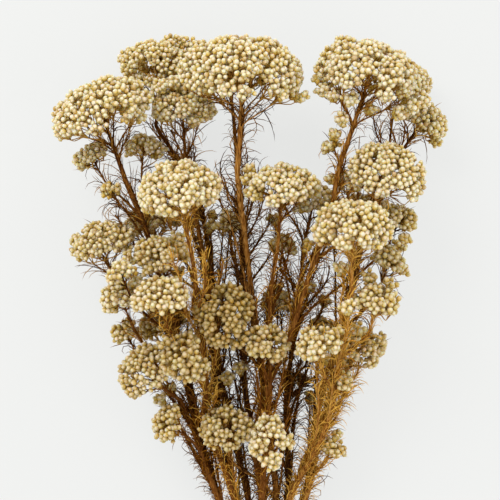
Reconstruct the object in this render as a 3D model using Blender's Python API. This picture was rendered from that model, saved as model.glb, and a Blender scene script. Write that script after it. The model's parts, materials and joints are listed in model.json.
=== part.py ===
"""A bunch of dried rice flower lying on its side, as cut and banded.

Thirteen woody stems run from their cut ends through a rubber band and fan out. Each forks into
branches, and every branch carries a domed head of small round buds on a fan of stalks. X runs
across the bunch, Y along it from the cut ends to the tips, and +Z is up off the table.
"""

import math
from dataclasses import dataclass, field

import bmesh
import bpy
import numpy as np
from mathutils import Matrix, Vector
from mathutils.bvhtree import BVHTree
from mathutils.kdtree import KDTree

# Every size below is in millimetres and is turned into metres when a mesh is made.
MM = 0.001

# The bundle where it is tied
TIE_Y = 105.0
TIE_Z = 13.0
OUTER_RING = 6.8
INNER_RING = 2.4
END_Z = 7.2
FAN_Y = 173.0
FAN_Z = 27.0
TIE_HALF = 5.0
WAIST_X = 16.0
WAIST_Z = 38.0
FLARE_BELOW = 60.0
BUTT_STAGGER = 6.0

# Stems, branches, stalks and leaves
STEM_RADIUS = 1.9
STEM_TIP_RADIUS = 0.95
BRANCH_RADIUS = 0.9
BRANCH_TIP_RADIUS = 0.6
BRANCH_BELOW = 5.0
BRANCH_SLOPE = 0.9
STALK_RADIUS = 0.6
NEEDLE_RADIUS = 0.42
NEEDLE_LENGTH = 9.0
NEEDLE_SPREAD = 42.0
NEEDLES_PER_STEM = 10
NEEDLE_FIRST_Y = 150.0

# Heads
DOME_RISE = 0.8
RIM_DROP = 0.22
HOLLOW = 0.08
LOBE_DEPTH = 0.12
LOBE_AREA = 330.0
BUD_AREA = 62.0
BUD_VALLEY = 2.0
VALLEY_SHARE = 0.14
CENTRE_SHARE = 0.42
FORK_SHARE = 0.95
FORK_EXTRA = 4.0
SEAT_GAP = 0.3
REST_DEPTH = 1.2

# Laying the stems clear of each other
SAMPLE = 2.0
CLEARANCE = 1.6
HEAD_CLEARANCE = 1.0
FLOOR_CLEARANCE = 0.3
SETTLE_ROUNDS = 70
UNSMOOTHED_ROUNDS = 5
SMOOTHING = 0.25
TUBE_TOLERANCE = 0.6
THINNING = (0.76, 0.8, 0.85, 0.9)

# The rubber band
BAND_SIDES = 16
BAND_INNER = (OUTER_RING + STEM_RADIUS + 0.3) / math.cos(math.pi / BAND_SIDES)
BAND_THICKNESS = 0.9
BAND_TURNS = 3
BAND_TURN_WIDTH = 2.2
BAND_GROOVE = 0.6

GOLDEN = (0.42, 0.24, 0.09, 1.0)
DARK = (0.17, 0.09, 0.045, 1.0)
CREAM = (0.80, 0.71, 0.53, 1.0)
LATEX = (0.66, 0.50, 0.30, 1.0)
SHARP_DEGREES = 70.0
DRY_ROUGHNESS = 0.85
BAND_ROUGHNESS = 0.55


@dataclass
class Head:
    """A dome of buds: its centre, its width, how far it leans to +X and nods towards +Z in degrees."""

    x: float
    y: float
    z: float
    width: float
    lean: float
    nod: float

    @property
    def axis(self) -> Vector:
        """The way the dome faces."""
        lean, nod = math.radians(self.lean), math.radians(self.nod)
        return Vector((math.sin(lean) * math.cos(nod), math.cos(lean) * math.cos(nod), math.sin(nod)))

    @property
    def radius(self) -> float:
        """Half the width."""
        return self.width / 2

    @property
    def rise(self) -> float:
        """The dome's height above its rim plane."""
        return self.radius * DOME_RISE

    @property
    def base(self) -> Vector:
        """The middle of the rim plane."""
        return Vector((self.x, self.y, self.z)) - self.axis * self.rise * CENTRE_SHARE

    @property
    def fork(self) -> Vector:
        """Where the stalks under the head meet."""
        return self.base - self.axis * (self.radius * FORK_SHARE + FORK_EXTRA)

    def sides(self) -> tuple:
        """Two directions square to the axis."""
        across = self.axis.cross(Vector((0, 0, 1))).normalized()
        return across, self.axis.cross(across)


@dataclass
class Stem:
    """A leafy stem: its slot in the tie, the points it passes above the fan, and its heads from the tip."""

    name: str
    ring: float
    slot: float
    front: bool
    route: list
    heads: list
    paths: list = field(default_factory=list)


STEMS = [
    Stem("left_front", OUTER_RING, 126, True,
         [(-29, 217, 50), (-32, 262, 62)],
         [Head(-44.5, 346, 94, 48, -10, 20), Head(-54, 288, 90, 31, -10, 35),
          Head(-42, 255, 80, 28, -25, 50)]),
    Stem("mid_front", OUTER_RING, 90, True,
         [(4, 229, 54), (4, 263, 54), (5, 290, 57)],
         [Head(11, 349, 76, 42, 4, 20), Head(3, 263, 77, 25, 10, 45), Head(4, 211, 84, 26, 0, 60)]),
    Stem("right_front", OUTER_RING, 54, True,
         [(35, 212, 55), (41, 246, 66)],
         [Head(47, 327, 94, 46, 0, 16), Head(29, 264, 88, 26, -8, 35), Head(61.5, 287, 79, 28, 10, 20)]),
    Stem("right_outer", OUTER_RING, 18, True,
         [(32, 206, 36)],
         [Head(57, 260, 52, 30, 30, 28), Head(41, 202, 44, 16, 30, 20)]),
    Stem("right_back", OUTER_RING, 342, False,
         [(33, 225, 26), (50, 288, 34), (57, 322, 35)],
         [Head(93, 387, 36, 33, 34, 0), Head(84, 412, 22, 34, 18, 5), Head(77, 331, 51, 24, 20, 12),
          Head(71, 308.5, 62, 24, 20, 10)]),
    Stem("back_right", OUTER_RING, 306, False,
         [(14, 224, 18), (22, 282, 28)],
         [Head(30, 342, 42, 30, 12, 15), Head(49, 351, 50, 20, 5, 10), Head(12, 316, 32, 18, 5, 0),
          Head(39, 265, 20, 30, 12, -10)]),
    Stem("back_mid", OUTER_RING, 270, False,
         [(-10, 235, 12), (-11, 305, 12), (-14, 358, 14)],
         [Head(-21, 422, 14, 31, -8, -10), Head(-19, 329, 34, 22, -5, 5), Head(9, 284, 30, 22, 0, 10)]),
    Stem("left_back", OUTER_RING, 234, False,
         [(-27, 235, 16), (-29, 293, 18), (-37, 345, 19)],
         [Head(-60.5, 422, 25, 45, -2, 5), Head(-67, 373, 26, 24, 5, 5), Head(-64, 331, 16.5, 37, -15, -10),
          Head(-58, 272, 20, 30, -20, -5)]),
    Stem("left_far", OUTER_RING, 198, False,
         [(-41, 225, 24), (-54, 282, 34), (-64, 320, 42)],
         [Head(-90.5, 393, 60, 60, -19, 12), Head(-98, 367, 36, 22, -28, 5), Head(-86, 346, 50, 12, -35, 0),
          Head(-90.5, 320.5, 48, 41, -16, 12)]),
    Stem("left_outer", OUTER_RING, 162, True,
         [(-36, 200, 33)],
         [Head(-67, 247, 60, 36, -45, 30), Head(-79, 288, 56, 24, -20, 20), Head(-77.5, 266.5, 36, 18, -25, 5),
          Head(-53.5, 217.5, 56, 25, -50, 12)]),
    Stem("left_mid", INNER_RING, 210, False,
         [(-21, 225, 24), (-29, 282, 30), (-38, 335, 32)],
         [Head(-45, 395.5, 37, 38, -3, 10), Head(-55, 312, 63, 32, -6, 20), Head(-77, 302, 77, 18, -20, 20)]),
    Stem("centre_tall", INNER_RING, 330, True,
         [(3, 215, 34), (-4, 272, 46), (-10, 322, 54)],
         [Head(-10.2, 411, 72, 71.5, 3, 10), Head(-19, 277, 74, 34, 5, 60), Head(-20, 216, 60, 32, -5, 35)]),
    Stem("right_tall", INNER_RING, 90, True,
         [(-4, 198, 40), (0, 227, 46), (15, 261, 54), (24, 291, 58), (38, 332, 58)],
         [Head(60, 410, 67, 63.5, 18, 10), Head(38, 371, 54, 11, -20, 0), Head(68.5, 356, 73, 45, 12, 35),
          Head(63, 335, 17.3, 38, 12, -10)]),
]
# Heads that touch the table, cut flat where they rest
RESTING = {"back_mid_head_1", "left_back_head_3", "right_tall_head_4"}


def centre_on_table(items: list) -> None:
    """Move the meshes so that the origin lies on the table under the middle of the whole bunch."""
    corners = np.array([vert.co for item in items for vert in item.data.vertices])
    low, high = corners.min(axis=0), corners.max(axis=0)
    shift = Vector((-(low[0] + high[0]) / 2, -(low[1] + high[1]) / 2, -low[2]))
    for item in items:
        item.data.transform(Matrix.Translation(shift))


def clear_scene() -> None:
    """Remove what a new file starts with."""
    for item in list(bpy.data.objects):
        bpy.data.objects.remove(item, do_unlink=True)


def make_material(name: str, colour: tuple, roughness: float):
    """A plain Principled material."""
    material = bpy.data.materials.new(name)
    material.use_nodes = True
    shader = material.node_tree.nodes["Principled BSDF"]
    shader.inputs["Base Color"].default_value = colour
    shader.inputs["Roughness"].default_value = roughness
    return material


def add_object(name: str, bm, collection, material):
    """Turn a bmesh in millimetres into an object in metres."""
    bmesh.ops.scale(bm, vec=(MM, MM, MM), verts=bm.verts)
    mesh = bpy.data.meshes.new(name)
    bm.to_mesh(mesh)
    bm.free()
    mesh.materials.append(material)
    item = bpy.data.objects.new(name, mesh)
    collection.objects.link(item)
    return item


def evaluated_mesh(item):
    """A new mesh of an object with its modifiers or bevel applied."""
    bpy.context.view_layer.update()
    return bpy.data.meshes.new_from_object(item.evaluated_get(bpy.context.evaluated_depsgraph_get()))


def tie_point(stem: Stem, y: float) -> Vector:
    """Where a stem runs in the tied bundle: a waist at the band that flares to both sides."""
    away = max(0.0, abs(y - TIE_Y) - TIE_HALF)
    if y > TIE_Y:
        share = away / (FAN_Y - TIE_Y)
        middle = TIE_Z + (FAN_Z - TIE_Z) * share * share
        wide, deep = math.hypot(1, away / WAIST_X), math.hypot(1, away / WAIST_Z)
    else:
        share = away / TIE_Y
        middle = TIE_Z + (END_Z - TIE_Z) * share * share
        wide, deep = math.hypot(1, away / FLARE_BELOW), 1.0
    turn = math.radians(stem.slot)
    return Vector((stem.ring * math.cos(turn) * wide, y, middle + stem.ring * math.sin(turn) * deep))


def even_samples(points: list, step: float) -> np.ndarray:
    """Points a step apart along a smooth curve through the given ones."""
    knots = [2 * points[0] - points[1], *points, 2 * points[-1] - points[-2]]
    fine = []
    for a, b, c, d in zip(knots, knots[1:], knots[2:], knots[3:]):
        count = max(2, int((c - b).length))
        for k in range(count):
            t = k / count
            fine.append(0.5 * (2 * b + (c - a) * t + (2 * a - 5 * b + 4 * c - d) * t * t
                               + (3 * b - a - 3 * c + d) * t ** 3))
    fine.append(points[-1])
    line = np.array(fine)
    run = np.concatenate([[0], np.cumsum(np.linalg.norm(np.diff(line, axis=0), axis=1))])
    wanted = np.linspace(0, run[-1], max(3, round(run[-1] / step)))
    return np.stack([np.interp(wanted, run, line[:, k]) for k in range(3)], axis=1)


def main_path(stem: Stem, order: int) -> np.ndarray:
    """The stem from its cut end through the tie to the fork of its tip head."""
    start = BUTT_STAGGER * (order * 0.618 % 1)
    rows = [start, 25, 50, 75, 90, TIE_Y - TIE_HALF, TIE_Y, TIE_Y + TIE_HALF, 120, 135, 155, FAN_Y]
    tip = stem.heads[0]
    last = [tip.fork - tip.axis * 12, tip.fork]
    return even_samples([tie_point(stem, y) for y in rows] + [Vector(p) for p in stem.route] + last, SAMPLE)


def branch_path(trunk: np.ndarray, head: Head) -> np.ndarray:
    """A branch that leaves the trunk below the head and bends into the head's axis."""
    fork = np.array(head.fork)
    near = trunk[np.argmin(np.abs(trunk[:, 1] - fork[1]))]
    aside = math.hypot(near[0] - fork[0], near[2] - fork[2])
    leave_y = max(min(fork[1], trunk[-1][1]) - BRANCH_BELOW - BRANCH_SLOPE * aside, TIE_Y + 40)
    at = int(np.argmin(np.abs(trunk[:, 1] - leave_y)))
    at = min(at, len(trunk) - 4)
    along = trunk[at + 1] - trunk[at - 1]
    along /= np.linalg.norm(along)
    reach = np.linalg.norm(fork - trunk[at])
    p0, p1 = trunk[at], trunk[at] + along * reach * 0.4
    p2, p3 = fork - np.array(head.axis) * reach * 0.35, fork
    count = max(4, round(reach / SAMPLE) + 1)
    t = np.linspace(0, 1, count)[:, None]
    return (1 - t) ** 3 * p0 + 3 * t * (1 - t) ** 2 * p1 + 3 * t * t * (1 - t) * p2 + t ** 3 * p3


def head_push(points: np.ndarray, tangents: np.ndarray, radii: np.ndarray, head: Head) -> np.ndarray:
    """How far each point has to move to leave a head's dome, square to its own path."""
    across, beside = (np.array(v) for v in head.sides())
    away = points - np.array(head.base)
    grown = radii + HEAD_CLEARANCE
    local = np.stack([away @ across, away @ beside, away @ np.array(head.axis)], axis=1)
    high = np.where(local[:, 2] > 0, head.rise, RIM_DROP * head.rise + 1) + grown
    size = np.stack([head.radius + grown, head.radius + grown, high], axis=1)
    depth = np.linalg.norm(local / size, axis=1)
    slope = local / size ** 2
    slope = slope[:, :1] * across + slope[:, 1:2] * beside + slope[:, 2:] * np.array(head.axis)
    slope -= (slope * tangents).sum(axis=1)[:, None] * tangents
    steep = np.linalg.norm(slope, axis=1) + 1e-9
    amount = np.where(depth < 1, np.minimum((1 - depth) * depth / steep, 2.0), 0.0)
    return slope / steep[:, None] * amount[:, None]


def tangents_of(path: np.ndarray) -> np.ndarray:
    """Unit directions along a path."""
    ahead = np.gradient(path, axis=0)
    return ahead / np.linalg.norm(ahead, axis=1)[:, None]


def neighbour_push(path: dict, tree: KDTree, nodes: list, radii: np.ndarray) -> np.ndarray:
    """How far each point of a path has to move to leave the paths of other nodes."""
    push = np.zeros_like(path["points"])
    for k in np.flatnonzero(path["free"]):
        point, radius = path["points"][k], path["radii"][k]
        for other, j, distance in tree.find_range(point, 2 * STEM_RADIUS + CLEARANCE):
            short = radius + radii[j] + CLEARANCE - distance
            if nodes[j] != path["node"] and short > 0:
                push[k] += (point - np.array(other)) / max(distance, 0.01) * short * 0.5
    return push


def settle(moving: list, standing: list, heads: list) -> None:
    """Push the moving paths clear of each other, of the standing ones, of the heads and of the table.

    A path is a dict with its points, radii, node and a mask of the points that may move.
    """
    for turn in range(SETTLE_ROUNDS):
        paths = moving + standing
        points = np.concatenate([p["points"] for p in paths])
        radii = np.concatenate([p["radii"] for p in paths])
        nodes = [p["node"] for p in paths for _ in p["points"]]
        tree = KDTree(len(points))
        for k, point in enumerate(points):
            tree.insert(point, k)
        tree.balance()
        for path in moving:
            own = path["points"]
            push = neighbour_push(path, tree, nodes, radii)
            tangent = tangents_of(own)
            for head in heads:
                push += head_push(own, tangent, path["radii"], head)
            moved = own + push
            if turn < SETTLE_ROUNDS - UNSMOOTHED_ROUNDS:
                moved[1:-1] += SMOOTHING * ((moved[:-2] + moved[2:]) / 2 - moved[1:-1])
            moved[:, 2] = np.maximum(moved[:, 2], path["radii"] + FLOOR_CLEARANCE)
            path["points"] = np.where(path["free"][:, None], moved, own)


def lay_paths() -> None:
    """Lay every stem, then its branches, and keep them with their stem."""
    heads = [head for stem in STEMS for head in stem.heads]
    trunks = []
    for order, stem in enumerate(STEMS):
        points = main_path(stem, order)
        share = np.clip((points[:, 1] - FAN_Y) / (points[-1, 1] - FAN_Y), 0, 1)
        free = points[:, 1] > TIE_Y + 25
        free[-5:] = False
        radii = STEM_RADIUS + (STEM_TIP_RADIUS - STEM_RADIUS) * share
        trunks.append({"node": stem.name, "points": points, "radii": radii, "free": free})
    settle(trunks, [], heads)
    branches = []
    for stem, trunk in zip(STEMS, trunks):
        stem.paths = [trunk]
        for head in stem.heads[1:]:
            points = branch_path(trunk["points"], head)
            free = np.ones(len(points), bool)
            free[:2] = free[-2:] = False
            radii = np.linspace(BRANCH_RADIUS, BRANCH_TIP_RADIUS, len(points))
            branch = {"node": stem.name, "points": points, "radii": radii, "free": free}
            branches.append(branch)
            stem.paths.append(branch)
    settle(branches, trunks, heads)


def nearest_row(points: np.ndarray, y: float) -> int:
    """The index of the point closest to a height along the bunch."""
    return int(np.argmin(np.abs(points[:, 1] - y)))


def simplified(points: np.ndarray, tolerance: float) -> list:
    """The indices of the points that keep a path within a tolerance, with the straight run in the tie."""
    def split(first: int, last: int) -> list:
        chord = points[last] - points[first]
        chord = chord / np.linalg.norm(chord)
        away = points[first:last + 1] - points[first]
        off = np.linalg.norm(away - (away @ chord)[:, None] * chord, axis=1)
        worst = int(np.argmax(off))
        if off[worst] < tolerance:
            return [last]
        return split(first, first + worst) + split(first + worst, last)
    last = len(points) - 1
    ties = [nearest_row(points, TIE_Y - TIE_HALF), nearest_row(points, TIE_Y + TIE_HALF)]
    stops = [0, *(k for k in ties if 0 < k < last), last]
    return [0] + [k for a, b in zip(stops, stops[1:]) for k in split(a, b)]


def tube_object(name: str, path: dict, resolution: int, collection, material):
    """A closed tube along a path, as a mesh."""
    kept = simplified(path["points"], TUBE_TOLERANCE)
    curve = bpy.data.curves.new(name, "CURVE")
    curve.dimensions = "3D"
    curve.bevel_depth = MM
    curve.bevel_resolution = resolution
    curve.use_fill_caps = True
    spline = curve.splines.new("POLY")
    spline.points.add(len(kept) - 1)
    for point, k in zip(spline.points, kept):
        point.co = (*(path["points"][k] * MM), 1.0)
        point.radius = path["radii"][k]
    guide = bpy.data.objects.new(name + "_guide", curve)
    collection.objects.link(guide)
    mesh = evaluated_mesh(guide)
    bpy.data.objects.remove(guide)
    bm = bmesh.new()
    bm.from_mesh(mesh)
    bmesh.ops.remove_doubles(bm, verts=bm.verts, dist=0.01 * MM)
    bmesh.ops.recalc_face_normals(bm, faces=bm.faces)
    bmesh.ops.scale(bm, vec=(1 / MM,) * 3, verts=bm.verts)
    cut_at_table(bm)
    return add_object(name, bm, collection, material)


def cut_at_table(bm) -> None:
    """Cut off what reaches below the table and close the cut with a flat face."""
    if min(v.co.z for v in bm.verts) >= 0:
        return
    cut = bmesh.ops.bisect_plane(bm, geom=bm.verts[:] + bm.edges[:] + bm.faces[:], dist=0.001,
                                 plane_co=(0, 0, 0), plane_no=(0, 0, 1), clear_inner=True)
    rim = [e for e in cut["geom_cut"] if isinstance(e, bmesh.types.BMEdge)]
    bmesh.ops.edgeloop_fill(bm, edges=rim)
    bmesh.ops.recalc_face_normals(bm, faces=bm.faces)


def spike_object(root: Vector, tip: Vector, radius: float, collection, material):
    """A straight three-sided stalk or needle that tapers from root to tip."""
    along = tip - root
    bm = bmesh.new()
    place = Matrix.Translation((root + tip) / 2) @ along.to_track_quat("Z", "Y").to_matrix().to_4x4()
    bmesh.ops.create_cone(bm, cap_ends=True, segments=3, radius1=radius, radius2=0,
                          depth=along.length, matrix=place)
    return add_object("spike", bm, collection, material)


def lobe_centres(head: Head) -> list:
    """The directions of the smaller umbels that make up a head."""
    count = max(1, round(math.pi * head.radius ** 2 / LOBE_AREA))
    if count < 3:
        return []
    golden = math.pi * (3 - math.sqrt(5))
    phase = head.x * 0.37 + head.y * 0.11
    out = []
    for k in range(count):
        tilt = math.radians(78) * math.sqrt((k + 0.5) / count)
        turn = phase + k * golden
        across, along = math.sin(tilt) * math.cos(turn), math.sin(tilt) * math.sin(turn)
        out.append(Vector((across, along, math.cos(tilt))))
    return out


def dome_point(head: Head, direction: Vector, lobes: list, valley: bool) -> Vector:
    """The point of a head's surface in a direction given in the head's own frame."""
    across, beside = head.sides()
    up = direction.z
    flat = math.hypot(direction.x, direction.y)
    size = 1.0
    if lobes and up > -0.3:
        nearest = min(direction.angle(lobe) for lobe in lobes)
        width = 1.15 * math.sqrt(2 * math.pi / len(lobes)) / 2
        size -= LOBE_DEPTH * min(1.0, nearest / width) ** 3
    if up >= 0:
        out = Vector((direction.x * head.radius, direction.y * head.radius, up * head.rise)) * size
    else:
        turn = math.acos(max(-1.0, up)) / (math.pi / 2) - 1
        drop = RIM_DROP * head.rise
        if turn < 0.35:
            low = drop * math.sin(turn / 0.35 * math.pi / 2)
        else:
            low = drop - (drop - HOLLOW * head.rise) * (turn - 0.35) / 0.65
        ratio = head.radius * size * math.cos(turn * math.pi / 2) / max(flat, 1e-6)
        out = Vector((direction.x * ratio, direction.y * ratio, -low))
    if valley and up > -math.sin(math.radians(22)):
        out -= Vector((direction.x, direction.y, up)) * min(BUD_VALLEY, head.radius * VALLEY_SHARE)
    return head.base + across * out.x + beside * out.y + head.axis * out.z


def head_bmesh(head: Head):
    """A dome whose surface stands out in one bump for each few buds."""
    area = 2 * math.pi * head.radius * (head.radius * 0.35 + head.rise * 0.75)
    count = max(8, round(area / BUD_AREA))
    golden = math.pi * (3 - math.sqrt(5))
    lowest = math.cos(math.radians(108))
    bm = bmesh.new()
    for k in range(count):
        up = 1 - (1 - lowest) * (k + 0.5) / count
        flat = math.sqrt(1 - up * up)
        bm.verts.new((flat * math.cos(k * golden), flat * math.sin(k * golden), up))
    for k in range(5):
        turn = k * math.tau / 5
        bm.verts.new((0.6 * math.cos(turn), 0.6 * math.sin(turn), -0.8))
    bmesh.ops.convex_hull(bm, input=bm.verts)
    ridges = bm.edges[:]
    valleys = set(bmesh.ops.poke(bm, faces=bm.faces[:])["verts"])
    bmesh.ops.rotate_edges(bm, edges=ridges, use_ccw=False)
    lobes = lobe_centres(head)
    for vert in bm.verts:
        vert.co = dome_point(head, vert.co.normalized(), lobes, vert in valleys)
    if bm.calc_volume(signed=True) < 0:
        bmesh.ops.reverse_faces(bm, faces=bm.faces)
    return bm


def stalk_tips(head: Head, surface) -> list:
    """Where the stalks end just under the head, found by looking up from the fork."""
    ring = 5 if head.radius > 15 else 3
    across, beside = head.sides()
    tips = []
    for k in range(ring + 1):
        turn = k * math.tau / ring + head.x
        out = 0 if k == ring else head.radius * 0.58
        aim = head.base + (across * math.cos(turn) + beside * math.sin(turn)) * out
        way = (aim - head.fork).normalized()
        hit = surface.ray_cast(head.fork, way)[3]
        if hit:
            tips.append(head.fork + way * (hit - SEAT_GAP))
    return tips


def gap_between(a: Vector, b: Vector, points: np.ndarray, radii: np.ndarray) -> float:
    """The least room between a straight spike and a cloud of round samples."""
    p, q = np.array(a), np.array(b)
    along = q - p
    t = np.clip((points - p) @ along / (along @ along), 0, 1)
    return float((np.linalg.norm(points - p - t[:, None] * along, axis=1) - radii).min())


def needle_ends(stem: Stem) -> list:
    """Roots and tips of the stem's needle leaves, spiralling up the stem and its branches."""
    golden = math.pi * (3 - math.sqrt(5))
    ends = []
    for order, path in enumerate(stem.paths):
        points, tangent = path["points"], tangents_of(path["points"])
        rows = np.flatnonzero(points[:, 1] > NEEDLE_FIRST_Y) if order == 0 else np.arange(3, len(points))
        count = NEEDLES_PER_STEM if order == 0 else max(1, round(len(rows) / 12))
        for k in range(count):
            at = rows[int((k + 0.5) / count * len(rows))]
            ahead = Vector(tangent[at])
            side = ahead.orthogonal().normalized()
            side.rotate(Matrix.Rotation(k * golden + order, 3, ahead))
            lean = math.radians(NEEDLE_SPREAD)
            way = ahead * math.cos(lean) + side * math.sin(lean)
            root = Vector(points[at])
            ends.append((root, root + way * (NEEDLE_LENGTH + path["radii"][at])))
    return ends


def fill_pockets(mesh):
    """Keep the outer skin of a fused mesh and drop the walls of the small pockets sealed inside it."""
    bm = bmesh.new()
    bm.from_mesh(mesh)
    left = set(bm.verts)
    skins = []
    while left:
        reached, skin = [left.pop()], []
        while reached:
            vert = reached.pop()
            skin.append(vert)
            for edge in vert.link_edges:
                other = edge.other_vert(vert)
                if other in left:
                    left.remove(other)
                    reached.append(other)
        skins.append(skin)
    skins.sort(key=len)
    for skin in skins[:-1]:
        bmesh.ops.delete(bm, geom=skin, context="VERTS")
    bm.to_mesh(mesh)
    bm.free()


def is_sound(mesh) -> bool:
    """Whether a mesh is closed and no two of its faces that share no corner cross."""
    bm = bmesh.new()
    bm.from_mesh(mesh)
    bm.faces.ensure_lookup_table()
    closed = all(edge.is_manifold for edge in bm.edges)
    tree = BVHTree.FromBMesh(bm)
    pairs = [(bm.faces[i], bm.faces[j]) for i, j in tree.overlap(tree) if i < j]
    crossing = any(not set(a.verts) & set(b.verts) for a, b in pairs)
    bm.free()
    return closed and not crossing


def merge_slivers(item) -> None:
    """Collapse the slivers that fusing leaves, as far as the mesh stays sound."""
    thin = item.modifiers.new("thin", "DECIMATE")
    thin.use_collapse_triangulate = True
    for share in THINNING:
        thin.ratio = share
        mesh = evaluated_mesh(item)
        if is_sound(mesh):
            item.data = mesh
            break
    item.modifiers.remove(thin)


def stem_object(stem: Stem, surfaces: dict, collection, workshop, material) -> None:
    """One leafy stem: trunk, branches, stalks and needles fused into one body."""
    others = [p for s in STEMS if s is not stem for p in s.paths]
    cloud = np.concatenate([p["points"] for p in others])
    radii = np.concatenate([p["radii"] for p in others])
    trunk = tube_object(f"{stem.name}_stem", stem.paths[0], 1, collection, material)
    for path in stem.paths[1:]:
        tube_object("branch", path, 0, workshop, material)
    for number, head in enumerate(stem.heads, 1):
        for tip in stalk_tips(head, surfaces[f"{stem.name}_head_{number}"]):
            if gap_between(head.fork, tip, cloud, radii + STALK_RADIUS) > SEAT_GAP:
                spike_object(head.fork, tip, STALK_RADIUS, workshop, material)
    for root, tip in needle_ends(stem):
        if gap_between(root, tip, cloud, radii + NEEDLE_RADIUS) < SEAT_GAP or tip.z < 0.5:
            continue
        way = (tip - root).normalized()
        hits = [s.ray_cast(root, way, NEEDLE_LENGTH + 3)[0] for s in surfaces.values()]
        if not any(hits):
            spike_object(root, tip, NEEDLE_RADIUS, workshop, material)
    fuse = trunk.modifiers.new("fuse", "BOOLEAN")
    fuse.operation = "UNION"
    fuse.solver = "MANIFOLD"
    fuse.operand_type = "COLLECTION"
    fuse.collection = workshop
    trunk.data = evaluated_mesh(trunk)
    trunk.modifiers.remove(fuse)
    fill_pockets(trunk.data)
    merge_slivers(trunk)
    for item in list(workshop.objects):
        bpy.data.objects.remove(item)


def band_object(collection, material):
    """The rubber band: a ring turned from three rounded turns side by side."""
    half = BAND_TURNS * BAND_TURN_WIDTH / 2
    outline = [(BAND_INNER, -half), (BAND_INNER, half)]
    for turn in reversed(range(BAND_TURNS)):
        middle = -half + (turn + 0.5) * BAND_TURN_WIDTH
        for share in (0.3, -0.3):
            outline.append((BAND_INNER + BAND_THICKNESS, middle + share * BAND_TURN_WIDTH))
        if turn:
            outline.append((BAND_INNER + BAND_THICKNESS * BAND_GROOVE, middle - BAND_TURN_WIDTH / 2))
    bm = bmesh.new()
    verts = [bm.verts.new((x, y, 0)) for x, y in outline]
    edges = [bm.edges.new(pair) for pair in zip(verts, verts[1:] + verts[:1])]
    bmesh.ops.spin(bm, geom=verts + edges, cent=(0, 0, 0), axis=(0, 1, 0), angle=math.tau,
                   steps=BAND_SIDES, use_merge=True)
    bmesh.ops.recalc_face_normals(bm, faces=bm.faces)
    bmesh.ops.translate(bm, vec=(0, TIE_Y, TIE_Z), verts=bm.verts)
    return add_object("bunch_band", bm, collection, material)


def main() -> None:
    """Build the bunch: heads first, then the stems that reach them, then the band."""
    clear_scene()
    bunch = bpy.data.collections.new("dried_rice_flower_bunch")
    workshop = bpy.data.collections.new("workshop")
    bpy.context.scene.collection.children.link(bunch)
    bpy.context.scene.collection.children.link(workshop)
    golden = make_material("golden_stem", GOLDEN, DRY_ROUGHNESS)
    dark = make_material("dark_stem", DARK, DRY_ROUGHNESS)
    cream = make_material("cream_buds", CREAM, DRY_ROUGHNESS)
    latex = make_material("rubber_band", LATEX, BAND_ROUGHNESS)
    lay_paths()
    surfaces = {}
    for stem in STEMS:
        for number, head in enumerate(stem.heads, 1):
            name = f"{stem.name}_head_{number}"
            bm = head_bmesh(head)
            if name in RESTING:
                lowest = min(vert.co.z for vert in bm.verts)
                bmesh.ops.translate(bm, vec=(0, 0, -lowest - REST_DEPTH), verts=bm.verts)
                cut_at_table(bm)
            surfaces[name] = BVHTree.FromBMesh(bm)
            add_object(name, bm, bunch, cream)
    for stem in STEMS:
        stem_object(stem, surfaces, bunch, workshop, golden if stem.front else dark)
    band_object(bunch, latex)
    bpy.data.collections.remove(workshop)
    centre_on_table(list(bunch.objects))
    for item in bunch.objects:
        item.data.shade_smooth()
        item.data.set_sharp_from_angle(angle=math.radians(SHARP_DEGREES))


main()
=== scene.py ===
"""Dresses a bunch of dried rice flower that lies on its side and is seen from straight above.

The heads become single buds on forking stalks, the stems get bark and needle leaves, and the rubber
band gets its turns. Sizes are in millimetres in the bunch's own frame: X across the bunch, Y along it
from the cut ends to the tips, Z up off the table. Bunch.place turns them into metres in the row frame.
"""

import json
import logging
import math
from dataclasses import dataclass, field
from enum import Enum

import bmesh
import bpy
import numpy as np
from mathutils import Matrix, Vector
from mathutils.kdtree import KDTree

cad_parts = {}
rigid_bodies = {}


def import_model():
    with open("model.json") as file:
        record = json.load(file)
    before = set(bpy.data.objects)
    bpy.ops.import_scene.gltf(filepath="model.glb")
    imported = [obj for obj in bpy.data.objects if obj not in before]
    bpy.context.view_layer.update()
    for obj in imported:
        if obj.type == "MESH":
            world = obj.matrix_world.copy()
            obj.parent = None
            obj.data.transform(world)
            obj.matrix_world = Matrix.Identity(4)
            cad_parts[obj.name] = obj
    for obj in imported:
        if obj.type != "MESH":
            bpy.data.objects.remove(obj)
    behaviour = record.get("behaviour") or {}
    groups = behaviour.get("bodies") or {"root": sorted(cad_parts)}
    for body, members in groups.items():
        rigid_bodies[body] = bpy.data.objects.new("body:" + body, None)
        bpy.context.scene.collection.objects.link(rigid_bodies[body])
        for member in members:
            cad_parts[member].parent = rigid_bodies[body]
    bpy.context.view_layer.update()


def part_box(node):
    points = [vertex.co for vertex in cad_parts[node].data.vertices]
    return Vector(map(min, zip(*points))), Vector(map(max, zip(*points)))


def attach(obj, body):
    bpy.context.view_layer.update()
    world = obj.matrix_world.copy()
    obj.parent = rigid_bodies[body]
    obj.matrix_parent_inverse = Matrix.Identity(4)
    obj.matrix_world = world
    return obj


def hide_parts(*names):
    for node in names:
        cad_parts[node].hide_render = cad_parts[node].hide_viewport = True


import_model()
log = logging.getLogger("rice_flower")

MM = 0.001
GOLDEN_ANGLE = math.pi * (3 - math.sqrt(5))

# The bundle where it is tied
TIE_Y = 105.0
TIE_Z = 13.0
OUTER_RING = 6.8
INNER_RING = 2.4
END_Z = 7.2
FAN_Y = 173.0
FAN_Z = 27.0
TIE_HALF = 5.0
WAIST_X = 16.0
WAIST_Z = 38.0
FLARE_BELOW = 60.0
BUTT_STAGGER = 6.0

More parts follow.
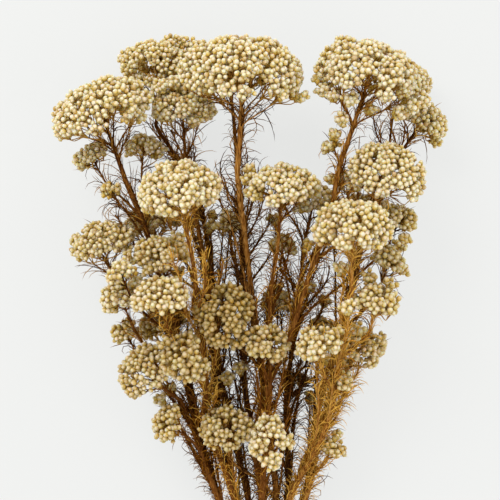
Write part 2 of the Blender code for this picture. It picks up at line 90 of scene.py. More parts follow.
# Stems and heads
STEM_RADIUS = 1.9
STEM_TIP_RADIUS = 0.95
BRANCH_RADIUS = 0.9
BRANCH_TIP_RADIUS = 0.6
BRANCH_BELOW = 5.0
BRANCH_SLOPE = 0.9
DOME_RISE = 0.8
RIM_DROP = 0.22
HOLLOW = 0.08
LOBE_DEPTH = 0.12
LOBE_AREA = 330.0
LOBE_WIDTH = 1.15
LOBES_DOWN_TO = -0.3
LOBE_CAP = 78.0
LIP = 0.35
CENTRE_SHARE = 0.42
FORK_SHARE = 0.95
FORK_EXTRA = 4.0
NEEDLE_PITCH = 0.5
NEEDLE_SHORTEST = 6.5
NEEDLE_LONGEST = 15.5
# How far each needle form curls and how far it drifts aside over its length, in degrees
NEEDLE_CURLS = ((35, 30), (70, -25), (105, 40), (145, -45), (190, 55), (-75, 35), (60, -65), (-35, 60))

# Laying the stems clear of each other
SAMPLE = 2.0
CLEARANCE = 1.6
HEAD_CLEARANCE = 1.0
FLOOR_CLEARANCE = 0.3
SETTLE_ROUNDS = 70
UNSMOOTHED_ROUNDS = 5
SMOOTHING = 0.25
LONGEST_PUSH = 2.0
UNDER_RIM = 1.0

# Where a stem or branch is held, and the heights along the bundle that every stem passes
HELD_TO_Y = TIE_Y + 25
HELD_TIP = 5
TIP_RUN = 12.0
BRANCHES_FROM_Y = TIE_Y + 40
GOLDEN_SHARE = 0.618
BUNDLE_ROWS = (25, 50, 75, 90, TIE_Y - TIE_HALF, TIE_Y, TIE_Y + TIE_HALF, 120, 135, 155, FAN_Y)


class StemTone(Enum):
    """The two browns of the dried stems."""

    GOLDEN = "golden_stem"
    DARK = "dark_stem"


NEEDLE_GIRTH = {StemTone.GOLDEN: 0.023, StemTone.DARK: 0.019}


@dataclass(frozen=True)
class Head:
    """A domed head of buds: its centre and width, and how far it leans to +X and nods to +Z in degrees."""

    x: float
    y: float
    z: float
    width: float
    lean: float
    nod: float

    @property
    def axis(self) -> np.ndarray:
        """The way the dome faces."""
        lean, nod = math.radians(self.lean), math.radians(self.nod)
        return np.array([math.sin(lean) * math.cos(nod), math.cos(lean) * math.cos(nod), math.sin(nod)])

    @property
    def radius(self) -> float:
        """Half the width."""
        return self.width / 2

    @property
    def rise(self) -> float:
        """The dome's height above its rim plane."""
        return self.radius * DOME_RISE

    @property
    def base(self) -> np.ndarray:
        """The middle of the rim plane."""
        return np.array([self.x, self.y, self.z]) - self.axis * self.rise * CENTRE_SHARE

    @property
    def fork(self) -> np.ndarray:
        """Where the stalks under the head meet."""
        return self.base - self.axis * (self.radius * FORK_SHARE + FORK_EXTRA)

    @property
    def sides(self) -> np.ndarray:
        """Three rows: two directions square to the axis, and the axis."""
        across = np.cross(self.axis, (0.0, 0.0, 1.0))
        across /= np.linalg.norm(across)
        return np.array([across, np.cross(self.axis, across), self.axis])

    @property
    def lobes(self) -> np.ndarray:
        """The directions of the larger umbels that bulge from the dome, in the head's own frame."""
        count = max(1, round(math.pi * self.radius ** 2 / LOBE_AREA))
        return cap_directions(count, LOBE_CAP, self.x * 0.37 + self.y * 0.11)

    def skin(self, ways: np.ndarray, valley: float = LOBE_DEPTH) -> np.ndarray:
        """Where the dome's outer skin lies.

        Args:
            ways: Unit directions in the head's own frame, one a row.
            valley: How deep the dome sinks between its umbels, as a share of its radius.

        Returns:
            The skin's points in the bunch's frame, one a row.
        """
        up, lobes = ways[:, 2], self.lobes
        size = np.ones(len(ways))
        if len(lobes) > 2:
            width = LOBE_WIDTH * math.sqrt(2 * math.pi / len(lobes)) / 2
            bulge = 1 - valley * np.minimum(1, nearest_angle(ways, lobes)[0] / width) ** 3
            size = np.where(up > LOBES_DOWN_TO, bulge, 1.0)
        turn = np.arccos(np.clip(up, -1, 1)) / (math.pi / 2) - 1
        drop = RIM_DROP * self.rise
        low = np.where(turn < LIP, drop * np.sin(turn / LIP * math.pi / 2),
                       drop - (drop - HOLLOW * self.rise) * (turn - LIP) / (1 - LIP))
        flat = np.maximum(np.hypot(ways[:, 0], ways[:, 1]), 1e-6)
        out = self.radius * size * np.where(up >= 0, 1, np.cos(turn * math.pi / 2) / flat)
        high = np.where(up >= 0, up * self.rise * size, -low)
        return self.base + np.stack([ways[:, 0] * out, ways[:, 1] * out, high], axis=1) @ self.sides


@dataclass
class Path:
    """The centreline of a stem or branch, its radii, and which of its points may still move."""

    stem: str
    points: np.ndarray
    radii: np.ndarray
    free: np.ndarray


@dataclass
class Stem:
    """A leafy stem: its slot in the tie, its tone, the points it passes, and its heads from the tip."""

    name: str
    ring: float
    slot: float
    tone: StemTone
    route: list
    heads: list
    paths: list = field(default_factory=list)


STEMS = [
    Stem("left_front", OUTER_RING, 126, StemTone.GOLDEN,
         [(-29, 217, 50), (-32, 262, 62)],
         [Head(-44.5, 346, 94, 48, -10, 20), Head(-54, 288, 90, 31, -10, 35),
          Head(-42, 255, 80, 28, -25, 50)]),
    Stem("mid_front", OUTER_RING, 90, StemTone.GOLDEN,
         [(4, 229, 54), (4, 263, 54), (5, 290, 57)],
         [Head(11, 349, 76, 42, 4, 20), Head(3, 263, 77, 25, 10, 45), Head(4, 211, 84, 26, 0, 60)]),
    Stem("right_front", OUTER_RING, 54, StemTone.GOLDEN,
         [(35, 212, 55), (41, 246, 66)],
         [Head(47, 327, 94, 46, 0, 16), Head(29, 264, 88, 26, -8, 35), Head(61.5, 287, 79, 28, 10, 20)]),
    Stem("right_outer", OUTER_RING, 18, StemTone.GOLDEN,
         [(32, 206, 36)],
         [Head(57, 260, 52, 30, 30, 28), Head(41, 202, 44, 16, 30, 20)]),
    Stem("right_back", OUTER_RING, 342, StemTone.DARK,
         [(33, 225, 26), (50, 288, 34), (57, 322, 35)],
         [Head(93, 387, 36, 33, 34, 0), Head(84, 412, 22, 34, 18, 5), Head(77, 331, 51, 24, 20, 12),
          Head(71, 308.5, 62, 24, 20, 10)]),
    Stem("back_right", OUTER_RING, 306, StemTone.DARK,
         [(14, 224, 18), (22, 282, 28)],
         [Head(30, 342, 42, 30, 12, 15), Head(49, 351, 50, 20, 5, 10), Head(12, 316, 32, 18, 5, 0),
          Head(39, 265, 20, 30, 12, -10)]),
    Stem("back_mid", OUTER_RING, 270, StemTone.DARK,
         [(-10, 235, 12), (-11, 305, 12), (-14, 358, 14)],
         [Head(-21, 422, 14, 31, -8, -10), Head(-19, 329, 34, 22, -5, 5), Head(9, 284, 30, 22, 0, 10)]),
    Stem("left_back", OUTER_RING, 234, StemTone.DARK,
         [(-27, 235, 16), (-29, 293, 18), (-37, 345, 19)],
         [Head(-60.5, 422, 25, 45, -2, 5), Head(-67, 373, 26, 24, 5, 5), Head(-64, 331, 16.5, 37, -15, -10),
          Head(-58, 272, 20, 30, -20, -5)]),
    Stem("left_far", OUTER_RING, 198, StemTone.DARK,
         [(-41, 225, 24), (-54, 282, 34), (-64, 320, 42)],
         [Head(-90.5, 393, 60, 60, -19, 12), Head(-98, 367, 36, 22, -28, 5), Head(-86, 346, 50, 12, -35, 0),
          Head(-90.5, 320.5, 48, 41, -16, 12)]),
    Stem("left_outer", OUTER_RING, 162, StemTone.GOLDEN,
         [(-36, 200, 33)],
         [Head(-67, 247, 60, 36, -45, 30), Head(-79, 288, 56, 24, -20, 20),
          Head(-77.5, 266.5, 36, 18, -25, 5), Head(-53.5, 217.5, 56, 25, -50, 12)]),
    Stem("left_mid", INNER_RING, 210, StemTone.DARK,
         [(-21, 225, 24), (-29, 282, 30), (-38, 335, 32)],
         [Head(-45, 395.5, 37, 38, -3, 10), Head(-55, 312, 63, 32, -6, 20), Head(-77, 302, 77, 18, -20, 20)]),
    Stem("centre_tall", INNER_RING, 330, StemTone.GOLDEN,
         [(3, 215, 34), (-4, 272, 46), (-10, 322, 54)],
         [Head(-10.2, 411, 72, 71.5, 3, 10), Head(-19, 277, 74, 34, 5, 60), Head(-20, 216, 60, 32, -5, 35)]),
    Stem("right_tall", INNER_RING, 90, StemTone.GOLDEN,
         [(-4, 198, 40), (0, 227, 46), (15, 261, 54), (24, 291, 58), (38, 332, 58)],
         [Head(60, 410, 67, 63.5, 18, 10), Head(38, 371, 54, 11, -20, 0), Head(68.5, 356, 73, 45, 12, 35),
          Head(63, 335, 17.3, 38, 12, -10)]),
]


def cap_directions(count: int, steepest: float, phase: float) -> np.ndarray:
    """Unit directions spread evenly over a cap.

    Args:
        count: How many.
        steepest: The angle of the cap's edge from +Z, in degrees.
        phase: The turn of the first one, in radians.

    Returns:
        The directions, one a row.
    """
    order = np.arange(count)
    tilt = math.radians(steepest) * np.sqrt((order + 0.5) / count)
    turn = phase + order * GOLDEN_ANGLE
    return np.stack([np.sin(tilt) * np.cos(turn), np.sin(tilt) * np.sin(turn), np.cos(tilt)], axis=1)


def nearest_angle(ways: np.ndarray, others: np.ndarray) -> tuple[np.ndarray, np.ndarray]:
    """The angle from each direction to the nearest of some others, and which one that is.

    Args:
        ways: Unit directions, one a row.
        others: The unit directions to look among, one a row.

    Returns:
        The angles in radians, and the row of the nearest one for each.
    """
    angles = np.arccos(np.clip(ways @ others.T, -1, 1))
    which = angles.argmin(axis=1)
    return angles[np.arange(len(ways)), which], which


def bent(start: np.ndarray, pull: np.ndarray, push: np.ndarray, end: np.ndarray, count: int) -> np.ndarray:
    """Points along a curve that leaves its start towards one point and reaches its end from another.

    Args:
        start: Where the curve starts.
        pull: The point it leaves towards.
        push: The point it arrives from.
        end: Where it ends.
        count: How many points.

    Returns:
        The points, one a row.
    """
    t = np.linspace(0, 1, count)[:, None]
    return (1 - t) ** 3 * start + 3 * t * (1 - t) ** 2 * pull + 3 * t * t * (1 - t) * push + t ** 3 * end


def tangents_of(line: np.ndarray) -> np.ndarray:
    """Unit directions along a line of points."""
    ahead = np.gradient(line, axis=0)
    return ahead / np.linalg.norm(ahead, axis=1)[:, None]


def square_to(axis: np.ndarray) -> np.ndarray:
    """Three rows: two directions square to an axis, and the axis."""
    across = np.cross(axis, (0.0, 0.0, 1.0))
    across /= np.linalg.norm(across) + 1e-9
    return np.array([across, np.cross(axis, across), axis])


def ball(subdivisions: int) -> tuple[np.ndarray, np.ndarray]:
    """Unit directions and triangles of a ball.

    Args:
        subdivisions: How often the twenty faces are split.

    Returns:
        The directions, one a row, and the triangles as rows of their numbers.
    """
    bm = bmesh.new()
    bmesh.ops.create_icosphere(bm, subdivisions=subdivisions, radius=1.0)
    ways = np.array([vert.co.normalized() for vert in bm.verts], float)
    faces = np.array([[vert.index for vert in face.verts] for face in bm.faces])
    bm.free()
    return ways, faces


OCTAHEDRON = (np.array([(1, 0, 0), (0, 1, 0), (-1, 0, 0), (0, -1, 0), (0, 0, 1), (0, 0, -1)], float),
              np.array([(k, (k + 1) % 4, 4) for k in range(4)] + [((k + 1) % 4, k, 5) for k in range(4)]))


class StemLayout:
    """Lays the stems and branches as the solids have them, clear of each other, the heads and the table."""

    def __init__(self, stems: list[Stem]) -> None:
        """Take the stems and note all their heads."""
        self.stems = stems
        self.heads = [head for stem in stems for head in stem.heads]

    def lay(self) -> None:
        """Lay every stem, then its branches, and keep them with their stem."""
        trunks = []
        for order, stem in enumerate(self.stems):
            points = self.trunk_line(stem, order)
            share = np.clip((points[:, 1] - FAN_Y) / (points[-1, 1] - FAN_Y), 0, 1)
            free = points[:, 1] > HELD_TO_Y
            free[-HELD_TIP:] = False
            radii = STEM_RADIUS + (STEM_TIP_RADIUS - STEM_RADIUS) * share
            trunks.append(Path(stem.name, points, radii, free))
        self.settle(trunks, [])
        branches = []
        for stem, trunk in zip(self.stems, trunks):
            stem.paths = [trunk]
            for head in stem.heads[1:]:
                points = self.branch_line(trunk.points, head)
                free = np.ones(len(points), bool)
                free[:2] = free[-2:] = False
                radii = np.linspace(BRANCH_RADIUS, BRANCH_TIP_RADIUS, len(points))
                stem.paths.append(Path(stem.name, points, radii, free))
            branches += stem.paths[1:]
        self.settle(branches, trunks)

    @staticmethod
    def tie_point(stem: Stem, y: float) -> np.ndarray:
        """Where a stem runs in the tied bundle: a waist at the band that flares to both sides.

        Args:
            stem: The stem.
            y: The height along the bundle.

        Returns:
            The point, in bunch millimetres.
        """
        away = max(0.0, abs(y - TIE_Y) - TIE_HALF)
        if y > TIE_Y:
            share = away / (FAN_Y - TIE_Y)
            middle = TIE_Z + (FAN_Z - TIE_Z) * share * share
            wide, deep = math.hypot(1, away / WAIST_X), math.hypot(1, away / WAIST_Z)
        else:
            share = away / TIE_Y
            middle = TIE_Z + (END_Z - TIE_Z) * share * share
            wide, deep = math.hypot(1, away / FLARE_BELOW), 1.0
        turn = math.radians(stem.slot)
        return np.array([stem.ring * math.cos(turn) * wide, y, middle + stem.ring * math.sin(turn) * deep])

    @staticmethod
    def even_samples(points: list, step: float) -> np.ndarray:
        """Points a step apart along a smooth curve through the given ones.

        Args:
            points: The points to pass.
            step: How far apart the new ones are.

        Returns:
            The new points, one a row.
        """
        knots = [2 * points[0] - points[1], *points, 2 * points[-1] - points[-2]]
        fine = []
        for a, b, c, d in zip(knots, knots[1:], knots[2:], knots[3:]):
            count = max(2, int(np.linalg.norm(c - b)))
            for k in range(count):
                t = k / count
                fine.append(0.5 * (2 * b + (c - a) * t + (2 * a - 5 * b + 4 * c - d) * t * t
                                   + (3 * b - a - 3 * c + d) * t ** 3))
        line = np.array(fine + [points[-1]])
        run = np.concatenate([[0], np.cumsum(np.linalg.norm(np.diff(line, axis=0), axis=1))])
        wanted = np.linspace(0, run[-1], max(3, round(run[-1] / step)))
        return np.stack([np.interp(wanted, run, line[:, k]) for k in range(3)], axis=1)

    def trunk_line(self, stem: Stem, order: int) -> np.ndarray:
        """The stem from its cut end through the tie to the fork of its tip head.

        Args:
            stem: The stem.
            order: Its number in the bunch, which staggers its cut end.

        Returns:
            The centreline's points, one a row.
        """
        tip = stem.heads[0]
        rows = (BUTT_STAGGER * (order * GOLDEN_SHARE % 1), *BUNDLE_ROWS)
        route = [np.array(point, float) for point in stem.route]
        last = [tip.fork - tip.axis * TIP_RUN, tip.fork]
        return self.even_samples([self.tie_point(stem, y) for y in rows] + route + last, SAMPLE)

    @staticmethod
    def branch_line(trunk: np.ndarray, head: Head) -> np.ndarray:
        """A branch that leaves the trunk below the head and bends into the head's axis.

        Args:
            trunk: The points of the stem's trunk.
            head: The head that the branch carries.

        Returns:
            The branch's points, one a row.
        """
        fork = head.fork
        near = trunk[np.argmin(np.abs(trunk[:, 1] - fork[1]))]
        aside = math.hypot(near[0] - fork[0], near[2] - fork[2])
        leave_y = max(min(fork[1], trunk[-1][1]) - BRANCH_BELOW - BRANCH_SLOPE * aside, BRANCHES_FROM_Y)
        at = min(int(np.argmin(np.abs(trunk[:, 1] - leave_y))), len(trunk) - 4)
        along = trunk[at + 1] - trunk[at - 1]
        along /= np.linalg.norm(along)
        reach = np.linalg.norm(fork - trunk[at])
        return bent(trunk[at], trunk[at] + along * reach * 0.4, fork - head.axis * reach * 0.35, fork,
                    max(4, round(reach / SAMPLE) + 1))

    @staticmethod
    def head_push(path: Path, tangents: np.ndarray, head: Head) -> np.ndarray:
        """How far each point has to move to leave a head's dome, square to its own path.

        Args:
            path: The stem or branch.
            tangents: Its unit directions, one a point.
            head: The head to keep clear of.

        Returns:
            The moves, one a row.
        """
        grown = path.radii + HEAD_CLEARANCE
        local = (path.points - head.base) @ head.sides.T
        high = np.where(local[:, 2] > 0, head.rise, RIM_DROP * head.rise + UNDER_RIM) + grown
        size = np.stack([head.radius + grown, head.radius + grown, high], axis=1)
        depth = np.linalg.norm(local / size, axis=1)
        slope = (local / size ** 2) @ head.sides
        slope -= (slope * tangents).sum(axis=1)[:, None] * tangents
        steep = np.linalg.norm(slope, axis=1) + 1e-9
        amount = np.where(depth < 1, np.minimum((1 - depth) * depth / steep, LONGEST_PUSH), 0.0)
        return slope / steep[:, None] * amount[:, None]

    def settle(self, moving: list[Path], standing: list[Path]) -> None:
        """Push paths apart.

        Args:
            moving: The paths that give way.
            standing: The paths that stay.
        """
        for turn in range(SETTLE_ROUNDS):
            paths = moving + standing
            points = np.concatenate([path.points for path in paths])
            radii = np.concatenate([path.radii for path in paths])
            owners = [path.stem for path in paths for _ in path.points]
            tree = KDTree(len(points))
            for k, point in enumerate(points):
                tree.insert(point, k)
            tree.balance()
            for path in moving:
                push = np.zeros_like(path.points)
                for k in np.flatnonzero(path.free):
                    for other, j, distance in tree.find_range(path.points[k], 2 * STEM_RADIUS + CLEARANCE):
                        short = path.radii[k] + radii[j] + CLEARANCE - distance
                        if owners[j] != path.stem and short > 0:
                            push[k] += (path.points[k] - np.array(other)) / max(distance, 0.01) * short * 0.5
                tangents = tangents_of(path.points)
                for head in self.heads:
                    push += self.head_push(path, tangents, head)
                moved = path.points + push
                if turn < SETTLE_ROUNDS - UNSMOOTHED_ROUNDS:
                    moved[1:-1] += SMOOTHING * ((moved[:-2] + moved[2:]) / 2 - moved[1:-1])
                moved[:, 2] = np.maximum(moved[:, 2], path.radii + FLOOR_CLEARANCE)
                path.points = np.where(path.free[:, None], moved, path.points)


def linked(name: str, data: bpy.types.ID) -> bpy.types.Object:
    """A new object in the scene."""
    item = bpy.data.objects.new(name, data)
    bpy.context.scene.collection.objects.link(item)
    return item


class NodeBoard:
    """Lays out a node tree: adds nodes, sets or joins their inputs, and hands back their outputs."""

    def __init__(self, tree: bpy.types.NodeTree) -> None:
        """Take the tree to lay out."""
        self.tree = tree

    @staticmethod
    def socket(sockets: object, key: str | int) -> bpy.types.NodeSocket:
        """The socket with that number, or the first one in use with that name.

        Args:
            sockets: A node's inputs or outputs.
            key: A number or a name.

        Returns:
            The socket.
        """
        if isinstance(key, int):
            return sockets[key]
        return next(item for item in sockets if item.name == key and not item.is_unavailable)

    def feed(self, node: bpy.types.Node, inputs: dict) -> None:
        """For each input, by name or number, join the socket or sockets given for it, or set its value.

        Args:
            node: The node to feed.
            inputs: What goes into its inputs.
        """
        for key, value in inputs.items():
            target = self.socket(node.inputs, key)
            for one in value if isinstance(value, list) else [value]:
                if isinstance(one, bpy.types.NodeSocket):
                    self.tree.links.new(one, target)
                else:
                    target.default_value = one

    def add(self, kind: str, inputs: dict | None = None, **settings: object) -> bpy.types.Node:
        """Add a node of some kind with its inputs and its own settings.

        Args:
            kind: Blender's name for the node.
            inputs: What goes into its inputs, by name or number.
            settings: The node's own settings.

        Returns:
            The node.
        """
        made = self.tree.nodes.new(kind)
        for name, value in settings.items():
            setattr(made, name, value)
        self.feed(made, inputs or {})
        return made

    def out(self, kind: str, inputs: dict | None = None, result: str | int = 0,
            **settings: object) -> bpy.types.NodeSocket:
        """Add a node and return one of its outputs."""
        return self.socket(self.add(kind, inputs, **settings).outputs, result)

    def math(self, operation: str, *values: object) -> bpy.types.NodeSocket:
        """The result of a sum on numbers or sockets."""
        return self.out("ShaderNodeMath", dict(enumerate(values)), operation=operation)

    def vector_math(self, operation: str, *values: object) -> bpy.types.NodeSocket:
        """The result of a sum on vectors."""
        inputs = {0: values[0], "Scale": values[1]} if operation == "SCALE" else dict(enumerate(values))
        return self.out("ShaderNodeVectorMath", inputs, "Vector", operation=operation)


class GrowthTree(NodeBoard):
    """A Geometry Nodes tree with named inputs, which grows a mesh on another one."""

    def __init__(self, name: str, inputs: dict[str, str]) -> None:
        """Make an empty tree with named inputs.

        Args:
            name: The tree's name.
            inputs: The kind of socket for each input's name.
        """
        super().__init__(bpy.data.node_groups.new(name, "GeometryNodeTree"))
        self.keys = {}
        face = self.tree.interface
        for label, kind in {"Geometry": "Geometry", **inputs}.items():
            made = face.new_socket(label, in_out="INPUT", socket_type="NodeSocket" + kind)
            self.keys[label] = made.identifier
        face.new_socket("Geometry", in_out="OUTPUT", socket_type="NodeSocketGeometry")
        self.given = self.add("NodeGroupInput").outputs

    def attribute(self, name: str, kind: str = "FLOAT") -> bpy.types.NodeSocket:
        """A named attribute of the geometry."""
        return self.out("GeometryNodeInputNamedAttribute", {"Name": name}, "Attribute", data_type=kind)

    def random(self, low: object, high: object, seed: object, kind: str = "FLOAT") -> bpy.types.NodeSocket:
        """A seeded random value for each element."""
        return self.out("FunctionNodeRandomValue", {"Min": low, "Max": high, "Seed": seed}, "Value",
                        data_type=kind)

    def reseeded(self, seed: object, step: float) -> bpy.types.NodeSocket:
        """Another seed, some steps on."""
        return self.math("ADD", seed, step)

    def compare(self, operation: str, first: object, second: object) -> bpy.types.NodeSocket:
        """Whether one number compares so with another."""
        return self.out("FunctionNodeCompare", {"A": first, "B": second}, operation=operation,
                        data_type="FLOAT")

    def painted(self, geometry: object, label: str, **chosen: object) -> bpy.types.NodeSocket:
        """The geometry, or a selection of it, in the material that the tree is given under a label."""
        return self.out("GeometryNodeSetMaterial", {
            "Geometry": geometry, **chosen, "Material": self.given[label]})

    def moved(self, geometry: object, **place: object) -> bpy.types.NodeSocket:
        """The geometry moved by an Offset or to a Position."""
        return self.out("GeometryNodeSetPosition", {"Geometry": geometry, **place})

    def standing(self, way: object, turn: object) -> bpy.types.NodeSocket:
        """A rotation that stands along a way and is turned about it."""
        upright = self.out("FunctionNodeAlignRotationToVector", {"Vector": way}, axis="Z")
        return self.spin(upright, 0.0, turn)

    def spin(self, rotation: object, tilt: object, turn: object) -> bpy.types.NodeSocket:
        """Lean a rotation by a tilt about its own X axis, then turn it about its own Z axis.

        Args:
            rotation: The rotation to start from.
            tilt: The lean in radians.
            turn: The turn in radians.

        Returns:
            The new rotation.
        """
        euler = self.out("ShaderNodeCombineXYZ", {"X": tilt, "Z": turn})
        local = self.out("FunctionNodeEulerToRotation", {"Euler": euler})
        return self.out("FunctionNodeRotateRotation", {"Rotation": rotation, "Rotate By": local},
                        rotation_space="LOCAL")

    def kept(self, geometry: object, name: str, value: object, domain: str = "INSTANCE",
             kind: str = "FLOAT") -> bpy.types.NodeSocket:
        """The geometry with a value stored on it under a name."""
        return self.out("GeometryNodeStoreNamedAttribute", {
            "Geometry": geometry, "Name": name, "Value": value}, domain=domain, data_type=kind)

    def marked(self, points: object, name: str, value: object, kind: str = "FLOAT_VECTOR") -> tuple:
        """Points with a value stored on them under a name, and the socket that reads it back."""
        return self.kept(points, name, value, "POINT", kind), self.attribute(name, kind)

    def from_forms(self, points: object, forms: object, count: int, rotation: object, size: object,
                   seed: object) -> bpy.types.NodeSocket:
        """One of a collection's forms, picked at random, on each point.

        Args:
            points: Where the forms stand.
            forms: The collection.
            count: How many forms it holds.
            rotation: How each one is turned.
            size: How large each one is.
            seed: The seed of the pick.

        Returns:
            The forms as instances.
        """
        source = self.out("GeometryNodeCollectionInfo", {
            "Collection": forms, "Separate Children": True, "Reset Children": True})
        pick = self.random(0, count - 1, seed, "INT")
        return self.out("GeometryNodeInstanceOnPoints", {
            "Points": points, "Instance": source, "Pick Instance": True, "Instance Index": pick,
            "Rotation": rotation, "Scale": size})

    def finish(self, parts: list) -> None:
        """Join the parts and give them out."""
        joined = self.out("GeometryNodeJoinGeometry", {"Geometry": parts})
        self.add("NodeGroupOutput", {"Geometry": joined})

    def grow(self, seat: bpy.types.Mesh, values: dict) -> bpy.types.Mesh:
        """Run the tree on a mesh.

        Args:
            seat: What the tree grows on.
            values: The tree's inputs by name.

        Returns:
            The plain mesh that comes out.
        """
        item = linked("growing", seat)
        modifier = item.modifiers.new("growth", "NODES")
        modifier.node_group = self.tree
        for label, value in values.items():
            modifier[self.keys[label]] = value
        bpy.context.view_layer.update()
        depsgraph = bpy.context.evaluated_depsgraph_get()
        mesh = bpy.data.meshes.new_from_object(item.evaluated_get(depsgraph), preserve_all_data_layers=True,
                                               depsgraph=depsgraph)
        item.modifiers.remove(modifier)
        bpy.data.objects.remove(item)
        return mesh


def set_attribute(mesh: bpy.types.Mesh, name: str, values: np.ndarray, domain: str = "POINT") -> None:
    """Store numbers or vectors on a mesh under a name.

    Args:
        mesh: The mesh.
        name: The attribute's name.
        values: One number or row for each element.
        domain: What carries them: points or faces.
    """
    kind, slot = ("FLOAT_VECTOR", "vector") if values.ndim == 2 else ("FLOAT", "value")
    layer = mesh.attributes.new(name, kind, domain)
    layer.data.foreach_set(slot, values.astype(np.float32).ravel())


def rings_mesh(name: str, rings: list[np.ndarray], tip: np.ndarray | None = None) -> bpy.types.Mesh:
    """A smooth tube through rings of points, closed at both ends.

    Args:
        name: The mesh's name.
        rings: Rows of points, each ring anticlockwise round +Z, lowest ring first.
        tip: The point at the top, where the last ring isn't closed by a flat face.

    Returns:
        The mesh.
    """
    sides = len(rings[0])
    points = [point for ring in rings for point in ring]
    faces = [[low + k, low + (k + 1) % sides, low + sides + (k + 1) % sides, low + sides + k]
             for low in range(0, (len(rings) - 1) * sides, sides) for k in range(sides)]
    faces.append(list(range(sides))[::-1])
    last = (len(rings) - 1) * sides
    if tip is None:
        faces.append(list(range(last, last + sides)))
    else:
        points.append(tip)
        faces += [[last + k, last + (k + 1) % sides, len(points) - 1] for k in range(sides)]
    mesh = bpy.data.meshes.new(name)
    mesh.from_pydata([tuple(point) for point in points], [], faces)
    mesh.shade_smooth()
    return mesh


def level_ring(turn: np.ndarray, width: np.ndarray | float, height: float) -> np.ndarray:
    """A ring of points round +Z at a height."""
    return np.stack([width * np.cos(turn), width * np.sin(turn), np.full(len(turn), float(height))], axis=1)


